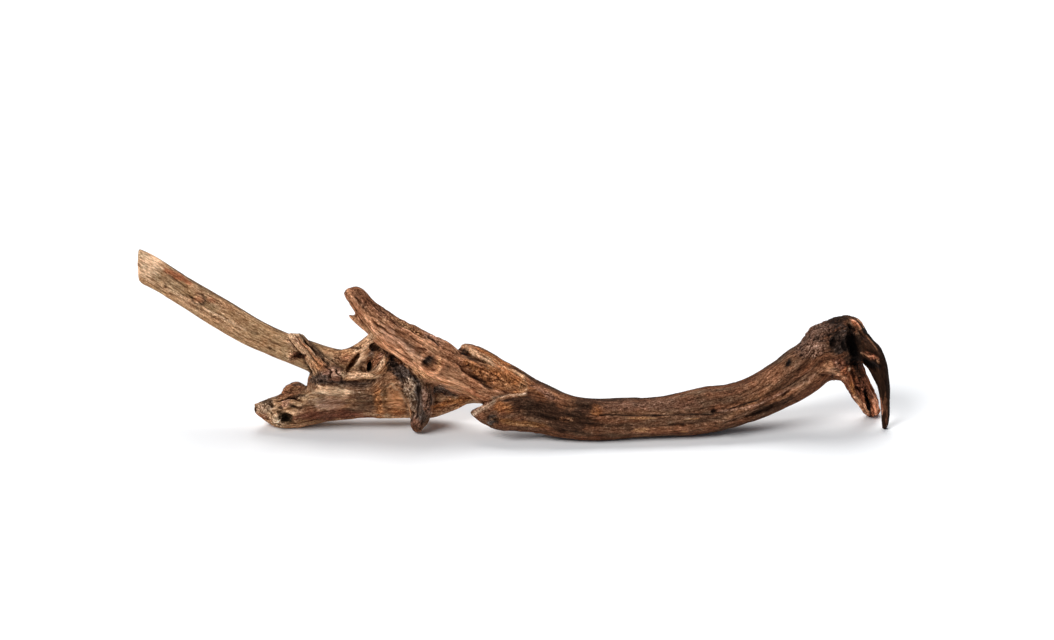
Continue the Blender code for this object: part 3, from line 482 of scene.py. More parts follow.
    armScarCore=(-225, 62.4, 3.2, 1.3, -8, "pitch", 0.9, 0.2),
    logLowRight=(-180, 24, 12, 5, 2, "umber", 0.8, -0.2),
    foldPinkRight=(-194.6, 49.5, 1.4, 3.4, 20, "rose", 0.75, 0),
    troughGold=(-76, 43, 20, 3.6, -27, "honey", 0.6, 0.3),
    hoodUnderBand=(197, 76, 9, 2.4, -55, "bark", 0.8, 0),
    rootKnotShade=(-77, 13.4, 1.6, 3.6, 10, "pitch", 0.85, 0),
    neckSlitHalo=(141.2, 56.6, 6.5, 2.6, 55, "umber", 0.6, 0),
    neckSlitDark=(141.2, 56.6, 3.6, 1.5, 55, "soot", 1, 0),
    heartFaceShade=(-171.5, 64, 5, 2.4, 70, "slate", 0.7, 0),
    stubGold=(-217.5, 63, 15, 4.6, -50, "straw", 0.7, 0),
    eyeGlow=(-125.5, 54.6, 3.2, 2.2, 20, "tan", 0.7, 0),
    hoodShade=(196, 68, 13, 4.2, -64, "pitch", 0.55, 0),
    stubLight=(-222, 68, 13, 2.6, -50, "cream", 0.8, 0),
    logTopShade=(-190, 42, 17, 1.3, -2, "slate", 0.65, 0),
)

# Thin lines of colour on the front, with painted shade along and between the stub's fingers and a painted
# highlight on the folds among them: tone, width, how strong, the points passed
strokesAndPaintedShading = dict(
    armPaleLine=("cream", 0.7, 0.9, (-325.5, 112.6), (-311, 105.7), (-306, 100.8)),
    armPaleLineTwo=("ivory", 0.6, 0.9, (-297, 98), (-276.3, 87.5), (-264.5, 81.1)),
    armUpperEdge=("umber", 1.3, 0.8, (-318, 127), (-300, 115.5), (-277, 102.5), (-254, 89), (-236, 79.5)),
    scoopedEdge=("cream", 1, 0.8, (-156, 41), (-151.4, 36.5), (-147, 31), (-145, 25), (-144, 19)),
    foldHighlight=("blush", 0.5, 0.6, (-200.5, 53.5), (-201.3, 49), (-200.5, 43)),
    crackLine=("soot", 0.55, 1, *relief["crack"][2:]),
    hoodEdge=("tan", 0.7, 0.6, (193, 84), (200, 77), (207, 67)),
    beakEdgeLine=("straw", 0.8, 0.5, (-177, 85), (-168, 76), (-152, 62), (-142, 52)),
    tongueLine=("straw", 0.9, 0.6, (-132, 47), (-114, 42), (-98, 33), (-86, 27)),
    stubLineOne=("cream", 0.7, 0.6, (-230, 77), (-221, 62), (-214, 54)),
    stubLineTwo=("flame", 0.7, 0.6, (-226, 77), (-216, 64), (-208, 55)),
    logEdgeLine=("blush", 0.6, 0.8, (-219, 28.5), (-214, 25.2), (-209, 22.6)),
    logLineOne=("russet", 0.5, 0.7, (-214, 33), (-190, 31.5), (-174, 30.5)),
    logLineTwo=("cocoa", 0.6, 0.8, (-209, 27), (-188, 27.5), (-170, 26)),
    beakCrackLine=("pitch", 0.8, 0.8, *relief["beakCrack"][2:]),
    beakDarkLine=("bark", 0.8, 0.5, (-184, 108), (-170, 93), (-155, 80), (-143, 73)),
    beakDarkLineTwo=("bark", 0.7, 0.45, (-150, 76), (-138, 68), (-128, 66)),
    lipLine=("apricot", 0.9, 0.85, (146, 36.6), (154, 43), (161, 48.2), (167, 51.4), (174, 51.7),
        (179, 49.3), (184, 46)),
    fissureLine=("soot", 0.9, 1, (199.7, 36.5), (201, 28), (203.6, 20), (205, 15.9)),
    # painted shadow along both sides of the stub, where it stands proud of the arm
    stubShadowRight=("bark", 1.2, 0.95, (-224, 78), (-214, 68), (-203, 57.5)),
    stubShadowLeft=("bark", 0.7, 0.8, (-232, 72), (-225, 61), (-216.5, 50.5)),
    # painted shade in the grooves between the stub's fingers
    stubFingerShadeOne=("russet", 0.5, 0.6, (-227, 74), (-218, 62), (-210, 54)),
    stubFingerShadeTwo=("russet", 0.5, 0.6, (-222, 73), (-213, 62), (-206, 55)),
    topEdge=("bark", 1.6, 0.9, (-66, 54.5), (-46, 43), (-29, 35.5), (-14, 31.6), (10, 30.2), (40, 30.8)),
    beakTopEdge=("cocoa", 1.4, 0.85, (-186, 113.5), (-176, 110), (-168, 102.5), (-158, 95), (-136, 82.5)),
    shoulderLight=("copper", 1.2, 0.6, (-48, 39.5), (-38, 36), (-28, 31)),
    lipLineLow=("copper", 0.6, 0.6, (146, 33.5), (157, 42.5), (166, 47.5), (173, 48)),
    neckGlow=("copper", 0.6, 0.6, (146, 36.5), (158, 46), (166, 52.5)),
    freshDark=("pitch", 0.6, 0.9, (190, 90.6), (194.3, 86.8), (198, 80.5)),
    hoodBreakCut=("pitch", 0.5, 0.8, (198, 64.5), (200.5, 62), (204, 61)),
    hoodBreakLight=("apricot", 0.4, 0.6, (196, 64.2), (201, 62.6), (206, 61.8), (208.4, 58)),
    armKnotEdge=("cream", 0.6, 0.9, (-305.5, 104.5), (-304, 102), (-300, 101.2), (-296, 101.6)),
    rootRim=("bone", 1.3, 0.95, (-94.5, 18.4), (-91.6, 21), (-87.8, 22.8), (-82.6, 24.9), (-79.4, 28.4)),
    scoopRimLow=("bone", 0.8, 0.8, (-80.3, 30.5), (-74.5, 32.1), (-66.2, 32.9), (-55.5, 33.8)),
    scoopRimEnd=("sand", 0.8, 0.8, (-64, 50.5), (-58.8, 47.8), (-54.8, 42), (-55.3, 35.5)),
    lipCrest=("blush", 0.7, 0.85, (89, 21.1), (104, 23), (115.5, 24.9), (128.2, 30.6), (138.3, 35.6),
        (147.2, 38.8), (156, 43.9), (161.1, 48.9)),
    lipUpper=("copper", 0.6, 0.6, (96, 24), (115.5, 32), (126, 39), (134, 45)),
    freshLineOne=("peach", 0.5, 0.95, (188, 89.8), (191.5, 87.3), (195.5, 82.8)),
    freshLineTwo=("apricot", 0.4, 0.9, (193.5, 90), (197, 87), (198.4, 84)),
    logLineThree=("tan", 0.4, 0.8, (-213, 37.5), (-200, 35.5), (-186, 34.5)),
    logLineFour=("cocoa", 0.5, 0.7, (-196, 39), (-184, 36.5), (-172, 36)),
    logLineFive=("bark", 0.5, 0.7, (-190, 29.5), (-180, 30.5), (-170, 28.5)),
    beakCurveOne=("russet", 0.5, 0.5, (-164, 76), (-152, 69), (-141, 66), (-132, 67)),
    beakCurveTwo=("russet", 0.5, 0.5, (-158, 69), (-148, 63.5), (-138, 61)),
    beakCurveThree=("rust", 0.5, 0.7, (-150, 59), (-141, 56.5), (-134, 57)),
    knotTail=("bark", 0.6, 0.7, (88, 22), (98, 26), (110, 31)),
    throatFleckOne=("rose", 0.5, 0.8, (176.5, 58.5), (178, 55.5)),
    throatFleckTwo=("peach", 0.5, 0.8, (181, 57), (182.3, 54.5)),
    armKnotRing=("bark", 0.65, 0.85, (-306.4, 106.2), (-303.6, 101.4), (-298.2, 100.7), (-295.6, 104),
        (-298, 108.2), (-303, 109), (-306.4, 106.2)),
    shelfRim=("cream", 0.8, 0.8, (-188.5, 49.6), (-180, 50.2), (-171.5, 50.8), (-166, 55), (-161.6, 61.5)),
    spurSlitDark=("pitch", 1, 0.85, (-134.5, 40), (-136, 31), (-137.2, 20)),
    hoodBreakCutTwo=("pitch", 0.35, 0.85, (202.6, 64), (203.8, 60.4)),
    hoodBreakCutThree=("pitch", 0.35, 0.85, (206, 62.8), (207, 58.6)),
    armSpeck=("bark", 0.7, 0.8, (-326.5, 116.3), (-325, 115.4)),
    logFold=("bark", 0.5, 0.7, (-222, 33.5), (-219, 28.5), (-213, 24.4), (-206, 22)),
    armScarRing=("cream", 0.6, 0.8, (-236, 63.5), (-233.5, 66.6), (-227, 66.2), (-222, 63)),
    stubTipEye=("russet", 0.9, 0.85, (-228.6, 75.6), (-226.6, 73.2)),
)


# The wood as seen: places, and back again

def place(x, rise, back):
    # y = rise sin(lean) + back cos(lean), z = rise cos(lean) - back sin(lean)
    y = rise * math.sin(lean) + back * math.cos(lean)
    z = rise * math.cos(lean) - back * math.sin(lean)
    return np.stack([x, y, z], axis=-1)


def seen(points):
    # the same turn the other way round
    x, y, z = points[..., 0], points[..., 1], points[..., 2]
    return x, y * math.sin(lean) + z * math.cos(lean), y * math.cos(lean) - z * math.sin(lean)


def lattice(ix, iy, iz, seed):
    # a number from -1 to 1 for every whole-number point, by mixing its bits
    h = (ix * 374761393 + iy * 668265263 + iz * 1440662683 + seed * 1274126177) & 0xFFFFFFFF
    h = ((h ^ (h >> 13)) * 1274126177) & 0xFFFFFFFF
    h = ((h ^ (h >> 15)) * 2246822519) & 0xFFFFFFFF
    return ((h ^ (h >> 16)) & 0xFFFFF) / 524287.5 - 1


def noise(x, y, z, seed):
    # lattice numbers blended with the smooth weight 6t^5 - 15t^4 + 10t^3 along each axis
    ix, iy, iz = (np.floor(v).astype(np.int64) for v in (x, y, z))
    fx, fy, fz = x - ix, y - iy, z - iz
    wx, wy, wz = (f * f * f * (f * (f * 6 - 15) + 10) for f in (fx, fy, fz))
    total = np.zeros(np.shape(x))
    for cx, px in ((0, 1 - wx), (1, wx)):
        for cy, py in ((0, 1 - wy), (1, wy)):
            for cz, pz in ((0, 1 - wz), (1, wz)):
                total += px * py * pz * lattice(ix + cx, iy + cy, iz + cz, seed)
    return total


def roughNoise(x, y, z, seed, octaves=3):
    # a sum of noises, each twice as fine and half as strong as the one before
    total, size = 0, 1.0
    for level in range(octaves):
        total = total + size * noise(x * 2**level, y * 2**level, z * 2**level, seed + 17 * level)
        size *= 0.5
    return total / 1.6


# Limbs

def flow(ribs, step):
    # ribs at every step along the limb: cubics through the given ribs, their slopes from the neighbours
    ribs = np.array(ribs, float)
    middles = (ribs[:, 0:2] + ribs[:, 2:4]) / 2
    knots = np.concatenate([[0.0], np.cumsum(np.linalg.norm(np.diff(middles, axis=0), axis=1))])
    along = np.linspace(0, knots[-1], max(6, int(knots[-1] / step)))
    slopes = np.gradient(ribs, knots, axis=0)
    i = np.clip(np.searchsorted(knots, along, side="right") - 1, 0, len(knots) - 2)
    span = (knots[i + 1] - knots[i])[:, None]
    k = (along - knots[i])[:, None] / span
    start = (1 + 2 * k) * (1 - k) ** 2 * ribs[i] + k * (1 - k) ** 2 * span * slopes[i]
    end = k**2 * (3 - 2 * k) * ribs[i + 1] + k**2 * (k - 1) * span * slopes[i + 1]
    return start + end, along


def flutes(angle, along, depth, seed):
    # 1 + depth times cosines round the limb, 2 to 8 waves, that drift as they run along it
    random = np.random.default_rng(seed)
    swell = np.ones((len(along), len(angle)))
    for waves in (2, 3, 5, 8):
        phase, drift, pace = random.uniform(0, 2 * math.pi, 3)
        turn = 0.25 * np.sin(along / 31 + drift) + 0.15 * np.sin(along / 13 + pace)
        swell += depth * np.cos(waves * (angle[None, :] + turn[:, None]) + phase) / math.sqrt(waves)
    return swell


def tubeFaces(rings, sides):
    # quads of a closed tube of rings, and a fan at each end round one point that follows the rings;
    # a fan's triangle repeats its last corner, so that all faces fit in one array
    ring, side = np.meshgrid(np.arange(rings - 1), np.arange(sides), indexing="ij")
    a = (ring * sides + side).ravel()
    b = (ring * sides + (side + 1) % sides).ravel()
    quads = np.stack([a, b, b + sides, a + sides], axis=1)
    side = np.arange(sides)
    after, last = (side + 1) % sides, rings * sides
    nose = np.stack([np.full(sides, last), after, side, side], axis=1)
    edge, beside = last - sides + side, last - sides + after
    tail = np.stack([np.full(sides, last + 1), edge, beside, beside], axis=1)
    return np.concatenate([quads, nose, tail])


def spine(limb, step):
    # at every step along the limb: its middle and half its width as seen, how far back, half its thickness
    stations, along = flow(limb["ribs"], step)
    top, foot, back, deep = stations[:, 0:2], stations[:, 2:4], stations[:, 4], stations[:, 5]
    return (top + foot) / 2, (top - foot) / 2, back, deep, along


def loft(limb, seed):
    # point(angle, along) = middle + half * cos(angle) across and deep * sin(angle) back, times the flutes
    middle, half, back, deep, along = spine(limb, skin["ribStep"])
    back, deep = back[:, None], deep[:, None]
    angle = np.linspace(0, 2 * math.pi, skin["sides"], endpoint=False)
    swell = flutes(angle, along, limb["flutes"], seed)
    across, through = np.cos(angle) * swell, np.sin(angle) * swell
    points = place(middle[:, 0:1] + half[:, 0:1] * across, middle[:, 1:2] + half[:, 1:2] * across,
                   back + deep * through).reshape(-1, 3)
    ends = place(middle[[0, -1], 0], middle[[0, -1], 1], back[[0, -1], 0])
    return np.concatenate([points, ends]), tubeFaces(len(along), skin["sides"])


def pit(x, rise, back, length, width, depth, turn, seed):
    # a ball stretched to the hollow's size, its skin pushed in and out by noise, turned in the leaning plane
    rings, sides = 26, 40
    tall = np.linspace(0, math.pi, rings + 2)[1:-1, None]
    angle = np.linspace(0, 2 * math.pi, sides, endpoint=False)[None, :]
    wide = np.sin(tall)
    unit = np.stack([wide * np.cos(angle), wide * np.sin(angle), np.cos(tall) + 0 * angle], axis=-1)
    unit = np.concatenate([unit.reshape(-1, 3), [(0, 0, 1), (0, 0, -1)]])
    bumps = 1 + 0.22 * roughNoise(unit[:, 0] * 2.2, unit[:, 1] * 2.2, unit[:, 2] * 1.2, seed)
    along, across = unit[:, 0] * length * bumps, unit[:, 1] * width * bumps
    turn = math.radians(turn)
    points = place(x + along * math.cos(turn) - across * math.sin(turn),
                   rise + along * math.sin(turn) + across * math.cos(turn),
                   back + unit[:, 2] * depth)
    return points, tubeFaces(rings, sides)


def objectFrom(name, points, faces):
    mesh = bpy.data.meshes.new(name)
    polygons = [face if face[2] != face[3] else face[:3] for face in np.asarray(faces).tolist()]
    mesh.from_pydata((points * mm).tolist(), [], polygons)
    made = bpy.data.objects.new(name, mesh)
    bpy.context.scene.collection.objects.link(made)
    return made


def turnedOut(points, faces):
    # the faces the other way round where the closed shell's volume comes out negative
    a, b, c, d = (points[faces[:, i]] for i in range(4))
    volume = (a * np.cross(b, c)).sum() + (a * np.cross(c, d)).sum()
    return faces[:, [1, 0, 3, 2]] if volume < 0 else faces


def joined(shells):
    points, faces, first = [], [], 0
    for some, polygons in shells:
        points.append(some)
        faces.append(turnedOut(some, polygons) + first)
        first += len(some)
    return np.concatenate(points), np.concatenate(faces)


def applied(piece):
    graph = bpy.context.evaluated_depsgraph_get()
    mesh = bpy.data.meshes.new_from_object(piece.evaluated_get(graph))
    piece.modifiers.clear()
    piece.data = mesh


def voxelSkin(piece, size, passes):
    remesh = piece.modifiers.new("skin", "REMESH")
    remesh.mode = "VOXEL"
    remesh.voxel_size = size * mm
    smooth = piece.modifiers.new("soften", "SMOOTH")
    smooth.factor = 0.5
    smooth.iterations = passes
    applied(piece)


def carve(piece, cutter):
    cut = piece.modifiers.new("carve", "BOOLEAN")
    cut.operation = "DIFFERENCE"
    cut.solver = "MANIFOLD"
    cut.object = cutter
    applied(piece)
    bpy.data.objects.remove(cutter)


def thinned(piece, wanted):
    # fewer triangles where the surface is flat, the attributes carried along
    thin = piece.modifiers.new("thin", "DECIMATE")
    thin.ratio = wanted / (2 * len(piece.data.polygons))
    thin.use_collapse_triangulate = True
    applied(piece)


def meshArrays(mesh):
    points = np.empty(len(mesh.vertices) * 3)
    mesh.vertices.foreach_get("co", points)
    edges = np.empty(len(mesh.edges) * 2, dtype=np.int64)
    mesh.edges.foreach_get("vertices", edges)
    normals = np.empty(len(mesh.vertices) * 3)
    mesh.vertex_normals.foreach_get("vector", normals)
    return points.reshape(-1, 3) / mm, normals.reshape(-1, 3), edges.reshape(-1, 2)


def neighbourMean(values, edges, passes):
    # each point moves to the mean of its neighbours along the edges, passes times
    count = np.bincount(edges.ravel(), minlength=len(values))[:, None]
    one, two = edges.T
    for _ in range(passes):
        total = np.zeros_like(values)
        for axis, value in enumerate(values.T):
            total[:, axis] = np.bincount(one, value[two], len(value))
            total[:, axis] += np.bincount(two, value[one], len(value))
        values = total / count
    return values


def limbPlace(limb, points):
    # of every point: how far along the limb, across it and behind it, and how many limb radii from its middle
    middle, half, depth, deep, along = spine(limb, skin["placeStep"])
    x, rise, back = seen(points)
    wide = np.linalg.norm(half, axis=1)
    outward = half / wide[:, None]
    forward = np.gradient(middle, along, axis=0)
    forward /= np.linalg.norm(forward, axis=1)[:, None]
    reach = wide.max() + deep.max() + skin["placeReach"]
    near = np.where(
        (x > middle[:, 0].min() - reach) & (x < middle[:, 0].max() + reach)
        & (rise > middle[:, 1].min() - reach) & (rise < middle[:, 1].max() + reach)
    )[0]
    x, rise, back = x[near], rise[near], back[near]
    nearest = np.empty(len(near), dtype=np.int64)
    chunk = 20000  # points at a time, so that the table of gaps stays small
    for start in range(0, len(near), chunk):
        part = slice(start, start + chunk)
        gap = (x[part, None] - middle[None, :, 0]) ** 2 + (rise[part, None] - middle[None, :, 1]) ** 2
        nearest[part] = np.argmin(gap + (back[part, None] - depth[None, :]) ** 2, axis=1)
    dx, dy = x - middle[nearest, 0], rise - middle[nearest, 1]
    ahead = dx * forward[nearest, 0] + dy * forward[nearest, 1]
    normal = np.stack([-forward[nearest, 1], forward[nearest, 0]], axis=1)
    normal *= np.sign((normal * outward[nearest]).sum(1))[:, None]
    across = dx * normal[:, 0] + dy * normal[:, 1]
    behind = back - depth[nearest]
    radii = np.sqrt((across / wide[nearest]) ** 2 + (behind / deep[nearest]) ** 2)
    outside = np.where((nearest == 0) | (nearest == len(along) - 1), np.abs(ahead), 0)
    radii += outside / np.minimum(wide[nearest], deep[nearest]).clip(3)
    return near, along[nearest] + ahead, across, behind, radii


def grooveDepth(limb, s, t, b, seed):
    # mm in or out along the grain: soft swells, sharp-bottomed grooves (1 - |noise|)^5, fine fibres and pits,
    # and how deep in a groove the point is, from 0 to 1
    longWave, crossWave = limb["waves"]
    bend = noise(s / 24, t / 14, b / 14, seed + 5) * crossWave * 0.9
    t, b = t + bend, b + 0.6 * bend
    swell = roughNoise(s / 26, t / 11, b / 11, seed + 1, 2) * 0.9
    groove = (1 - np.abs(roughNoise(s / longWave, t / crossWave, b / crossWave, seed + 2, 2))).clip(0, 1) ** 5
    patch = 0.35 + 0.65 * (0.5 + 0.5 * noise(s / 30, t / 9, b / 9, seed + 9)).clip(0, 1)
    fine = noise(s / (longWave * 0.35), t / (crossWave * 0.42), b / (crossWave * 0.42), seed + 3)
    pits = roughNoise(s / 4.5, t / 3.2, b / 3.2, seed + 4, 2)
    return (limb["grooves"] * (0.9 * swell - 1.5 * groove * patch) + limb["fine"] * fine
            + 1.6 * limb["pits"] * np.minimum(pits, 0.25)), groove * patch


def lineDistance(x, rise, line):
    nearest = np.full(len(x), np.inf)
    for (ax, ay), (bx, by) in zip(line[:-1], line[1:]):
        dx, dy = bx - ax, by - ay
        share = np.clip(((x - ax) * dx + (rise - ay) * dy) / (dx * dx + dy * dy), 0, 1)
        nearest = np.minimum(nearest, np.hypot(x - ax - share * dx, rise - ay - share * dy))
    return nearest


# Start values of the noises; grain (20 apart), tone and relief count up from here, one for every limb or line
seeds = dict(
    grain=100, tone=60, relief=90, reliefX=71, lumpRise=73, stainX=31, stainRise=57, ragged=83, fineRagged=85,
    crumbLumps=301, crumbPits=331,
)
weather = dict(
    reliefShake=0.9,  # mm that noise moves ridges, cracks, lumps and dents
    stainShake=1.5,  # mm that noise moves stains
    strokeShake=0.45,  # share of that for strokes
    stainEdge=2.4,  # how sharp the stains' edges are
    ragged=0.45,  # how far the edges run out along the grain, as a share of the stain
    fineRagged=0.25,
    upperShade=0.72,  # how much darker the upper edges that turn away are
    frontSlope=1.6,  # how soon relief and stains end on faces that turn away
)


def reliefHeight(points, normals):
    # ridges and cracks: height * exp(-(distance / width)^2), lumps and dents: height * exp(-distance^3),
    # all shaken by noise, on faces towards the front
    x, rise, back = seen(points)
    facing = np.clip(-seen(normals)[2] * weather["frontSlope"], 0, 1)
    shake = weather["reliefShake"] * noise(x / 7, rise / 7, back / 7, seeds["reliefX"])
    height = np.zeros(len(x))
    for number, (width, tall, *line) in enumerate(relief.values()):
        away = lineDistance(x + shake, rise + 0.8 * shake, line)
        strength = 0.7 + 0.9 * noise(x / 7, rise / 7, back / 7, seeds["relief"] + number)
        height += tall * strength * np.exp(-((away / width) ** 2))
    shakeRise = weather["reliefShake"] * noise(x / 5, rise / 5, back / 5, seeds["lumpRise"])
    for *oval, tall in lumps.values():
        away = ovalDistance(x + shake, rise + shakeRise, *oval)
        height += tall * np.exp(-(away**3))
    return height * facing


def ovalDistance(x, rise, centreX, centreRise, length, width, turn):
    # 0 in the middle of an oval, 1 on its edge
    turn = math.radians(turn)
    dx, dy = x - centreX, rise - centreRise
    along = (dx * math.cos(turn) + dy * math.sin(turn)) / length
    return np.hypot(along, (dy * math.cos(turn) - dx * math.sin(turn)) / width)


def stainedAndShadePainted(points, normals, grain, tone, crumb):
    # lays every stain and stroke, painted shade and highlights among them, over the limbs' own tones, and
    # says how crumbly or smooth each point is;
    # the edges run out along the grain, and upper edges that turn away are darker
    x, rise, back = seen(points)
    upward, backward = seen(normals)[1:]
    facing = np.clip(0.75 - backward * weather["frontSlope"], 0, 1)
    edge = np.clip((backward + 0.5) / 0.5, 0, 1) * np.clip(upward * 2, 0, 1)
    tone *= (1 - weather["upperShade"] * edge)[:, None]
    s, t, b = grain.T
    ragged = weather["ragged"] * roughNoise(s / 8, t / 1.7, b / 1.7, seeds["ragged"], 2)
    ragged += weather["fineRagged"] * roughNoise(x / 1.6, rise / 1.6, back / 1.6, seeds["fineRagged"], 2)
    shakeX, shakeRise = (
        weather["stainShake"] * roughNoise(x / 6, rise / 6, back / 6, seeds[axis])
        for axis in ("stainX", "stainRise")
    )
    for *oval, name, amount, crumbs in stainsAndPaintedShade.values():
        loose = min(1.0, oval[3] / 3)  # a narrow stain is shaken less
        away = ovalDistance(x + loose * shakeX, rise + loose * shakeRise, *oval)
        share = facing * np.clip(weather["stainEdge"] * (1.1 - away - ragged), 0, 1)
        tone += (amount * share)[:, None] * (np.array(woodTones[name]) - tone)
        crumb += share * (crumbs - crumb)
    loose = weather["strokeShake"]
    for name, width, amount, *line in strokesAndPaintedShading.values():
        away = lineDistance(x + loose * shakeX, rise + loose * shakeRise, line)
        share = amount * facing * np.exp(-((away / width) ** 2)) * np.clip(1 - 1.6 * ragged, 0, 1)
        tone += share[:, None] * (np.array(woodTones[name]) - tone)
    return tone, crumb


def crumbling(points, crumb):
    # rotten wood: lumps and pits of two sizes, sharper downwards than upwards
    x, y, z = (points[:, axis] for axis in range(3))
    lump = roughNoise(x / 5.5, y / 5.5, z / 5.5, seeds["crumbLumps"], 2)
    pitted = 1 - np.abs(roughNoise(x / 3.6, y / 3.6, z / 3.6, seeds["crumbPits"], 2)) * 2.2
    return np.maximum(crumb, 0) * (1.5 * lump - 2.0 * np.clip(pitted, 0, 1) ** 2 + 0.5)


print("limbs: lofting and fusing")
wood = objectFrom("driftwoodSkin", *joined([loft(limb, seed) for seed, limb in enumerate(limbs.values())]))
voxelSkin(wood, skin["fuseVoxel"], skin["fusePasses"])
print("hollows: carving")
cutter = objectFrom("hollows", *joined([pit(*size, seed) for seed, size in enumerate(hollows.values())]))
voxelSkin(cutter, skin["cutterVoxel"], 1)
carve(wood, cutter)
voxelSkin(wood, skin["finishVoxel"], 2)

print("grain: raising it on", len(wood.data.vertices), "points")
points, normals, edges = meshArrays(wood.data)
farOff = 9.0  # limb radii, for points beyond a limb's reach
nearness = np.full((len(limbs), len(points)), farOff)
places = []
for number, limb in enumerate(limbs.values()):
    near, s, t, b, radii = limbPlace(limb, points)
    nearness[number, near] = radii
    places.append((near, s, t, b))
share = np.exp(-skin["ownership"] * (nearness - nearness.min(axis=0)))
share /= share.sum(axis=0)
owner = nearness.argmin(axis=0)

apart = 97.0  # mm between the grain of one limb and the next, so that their noises differ
height = reliefHeight(points, normals)
dark = np.zeros(len(points))
grain = np.zeros((len(points), 3))
tone = np.zeros((len(points), 3))
crumb = np.zeros(len(points))
for number, (limb, (near, s, t, b)) in enumerate(zip(limbs.values(), places)):
    weight = share[number, near]
    kept = weight > 0.01
    near, s, t, b, weight = near[kept], s[kept], t[kept], b[kept], weight[kept]
    lift, groove = grooveDepth(limb, s, t, b, seeds["grain"] + 20 * number)
    height[near] += weight * lift
    dark[near] += weight * groove
    own, other = (np.array(woodTones[name]) for name in limb["tones"])
    mixed = np.clip(0.35 + 1.6 * roughNoise(s / 28, t / 5, b / 5, seeds["tone"] + number), 0, 1)[:, None]
    tone[near] += weight[:, None] * (own * (1 - mixed) + other * mixed)
    crumb[near] += weight * limb["crumbs"]
    mine = owner[near] == number
    grain[near[mine]] = np.stack([s, t, b], axis=1)[mine] + apart * number

tone, crumb = stainedAndShadePainted(points, normals, grain, tone, crumb)
height += crumbling(points, crumb)
moved = points + normals * height[:, None]
moved[:, 2] = np.where(moved[:, 2] < skin["floorCut"], 0, moved[:, 2] - skin["floorCut"])
low, high = (np.array(corner) / mm for corner in cadBox)
moved = np.clip(moved, low, high)

print("colour: shading hollows and crests")
cavity = np.zeros(len(moved))
for passes, deep, weight in ((2, 0.35, 0.35), (8, 0.8, 0.4), (30, 2.5, 0.35)):
    # how far the point lies under its surroundings, as a share of the depth in mm at which it counts in full
    under = ((neighbourMean(moved, edges, passes) - moved) * normals).sum(1)
    cavity += np.clip(under / deep, -1, 1) * weight

wood.data.vertices.foreach_set("co", (moved * mm).ravel())
wood.data.update()
rgba = np.concatenate([tone, np.ones((len(tone), 1))], axis=1)
for name, kind, channel, values in (
        ("tone", "FLOAT_COLOR", "color", rgba), ("grain", "FLOAT_VECTOR", "vector", grain),
        ("cavity", "FLOAT", "value", cavity), ("crack", "FLOAT", "value", dark),
        ("crumb", "FLOAT", "value", crumb)):
    wood.data.attributes.new(name, kind, "POINT").data.foreach_set(channel, values.ravel())
thinned(wood, skin["triangles"])
print("grain: kept", len(wood.data.polygons), "triangles")


# Shader maths

class Graph:
    def __init__(self, material):
        material.use_nodes = True
        self.tree = material.node_tree
        self.tree.nodes.clear()

    def node(self, kind, settings=None, inputs=None, output=0):
        made = self.tree.nodes.new(kind)
        for name, value in (settings or {}).items():
            if name == "stops":
                self.setStops(made.color_ramp, value)
            else:
                setattr(made, name, value)
        for name, value in (inputs or {}).items():
            self.feed(made.inputs[name], value)
        return Wire(self, made.outputs[output] if made.outputs else None)

    def setStops(self, ramp, stops):
        while len(ramp.elements) < len(stops):
            ramp.elements.new(1.0)
        for element, (position, level) in zip(ramp.elements, stops):
            element.position = position
            element.color = (level, level, level, 1) if isinstance(level, (int, float)) else (*level, 1)

    def feed(self, socket, value):
        if isinstance(value, Wire):
            self.tree.links.new(value.socket, socket)
        else:
            socket.default_value = value

    def shade(self, colour, roughness, specular, normal=None):
        inputs = {"Base Color": colour, "Roughness": roughness, "Specular IOR Level": specular}
        if normal:
            inputs["Normal"] = normal
        shader = self.node("ShaderNodeBsdfPrincipled", inputs=inputs)
        self.node("ShaderNodeOutputMaterial", inputs={"Surface": shader})


class Wire:
    def __init__(self, graph, socket):
        self.graph, self.socket = graph, socket

    def maths(self, operation, a, b, clamp=False):
        return self.graph.node("ShaderNodeMath", {"operation": operation, "use_clamp": clamp}, {0: a, 1: b})

    def __add__(self, other):
        return self.maths("ADD", self, other)

    def __mul__(self, other):
        return self.maths("MULTIPLY", self, other)

    def clamped(self):
        return self.maths("ADD", self, 0.0, True)


def stretched(graph, vector, size):
    return graph.node("ShaderNodeVectorMath", {"operation": "MULTIPLY"}, {0: vector, 1: size})


def speckle(graph, vector, waves, detail, roughness, twist):
    return graph.node("ShaderNodeTexNoise", {"noise_dimensions": "3D"}, {
        "Vector": stretched(graph, vector, waves), "Scale": 1.0, "Detail": detail, "Roughness": roughness,
        "Distortion": twist}, "Fac")


def tinted(graph, factor, colour, tint):
    # the colour times the tint, by as much as the factor says; 6 and 7 are the mix node's colour sockets
    settings = {"data_type": "RGBA", "blend_type": "MULTIPLY", "clamp_result": False}
    return graph.node("ShaderNodeMix", settings, {0: factor, 6: colour, 7: tint}, 2)


# Layers of noise, and what the wood's tone is multiplied by at each level of the noise:
# waves per mm along, across and through the grain, detail, roughness, twist, stops of level and tint
layers = dict(
    streak=((0.022, 0.30, 0.30), 5, 0.6, 0.8, ((0.34, 0.7), (0.5, 1.0), (0.66, (1.25, 1.3, 1.38)))),
    warm=((0.09, 0.09, 0.09), 4, 0.6, 0, ((0.35, (1.1, 0.97, 0.92)), (0.65, (0.96, 1.0, 1.03)))),
    fibre=((0.14, 0.90, 0.90), 4, 0.65, 0.5, (
        (0.36, (0.42, 0.33, 0.27)), (0.46, 0.86), (0.55, 1.1), (0.67, (1.6, 1.75, 1.9)))),
    fleck=((0.45, 1.0, 1.0), 3, 0.7, 0, (
        (0.34, (0.32, 0.24, 0.2)), (0.45, 0.85), (0.56, 1.12), (0.68, (1.9, 2.15, 2.4)))),
    grit=((0.85, 0.85, 0.85), 3, 0.7, 0, (
        (0.36, (0.28, 0.2, 0.16)), (0.47, 0.8), (0.57, 1.18), (0.70, (2.2, 2.5, 2.8)))),
)
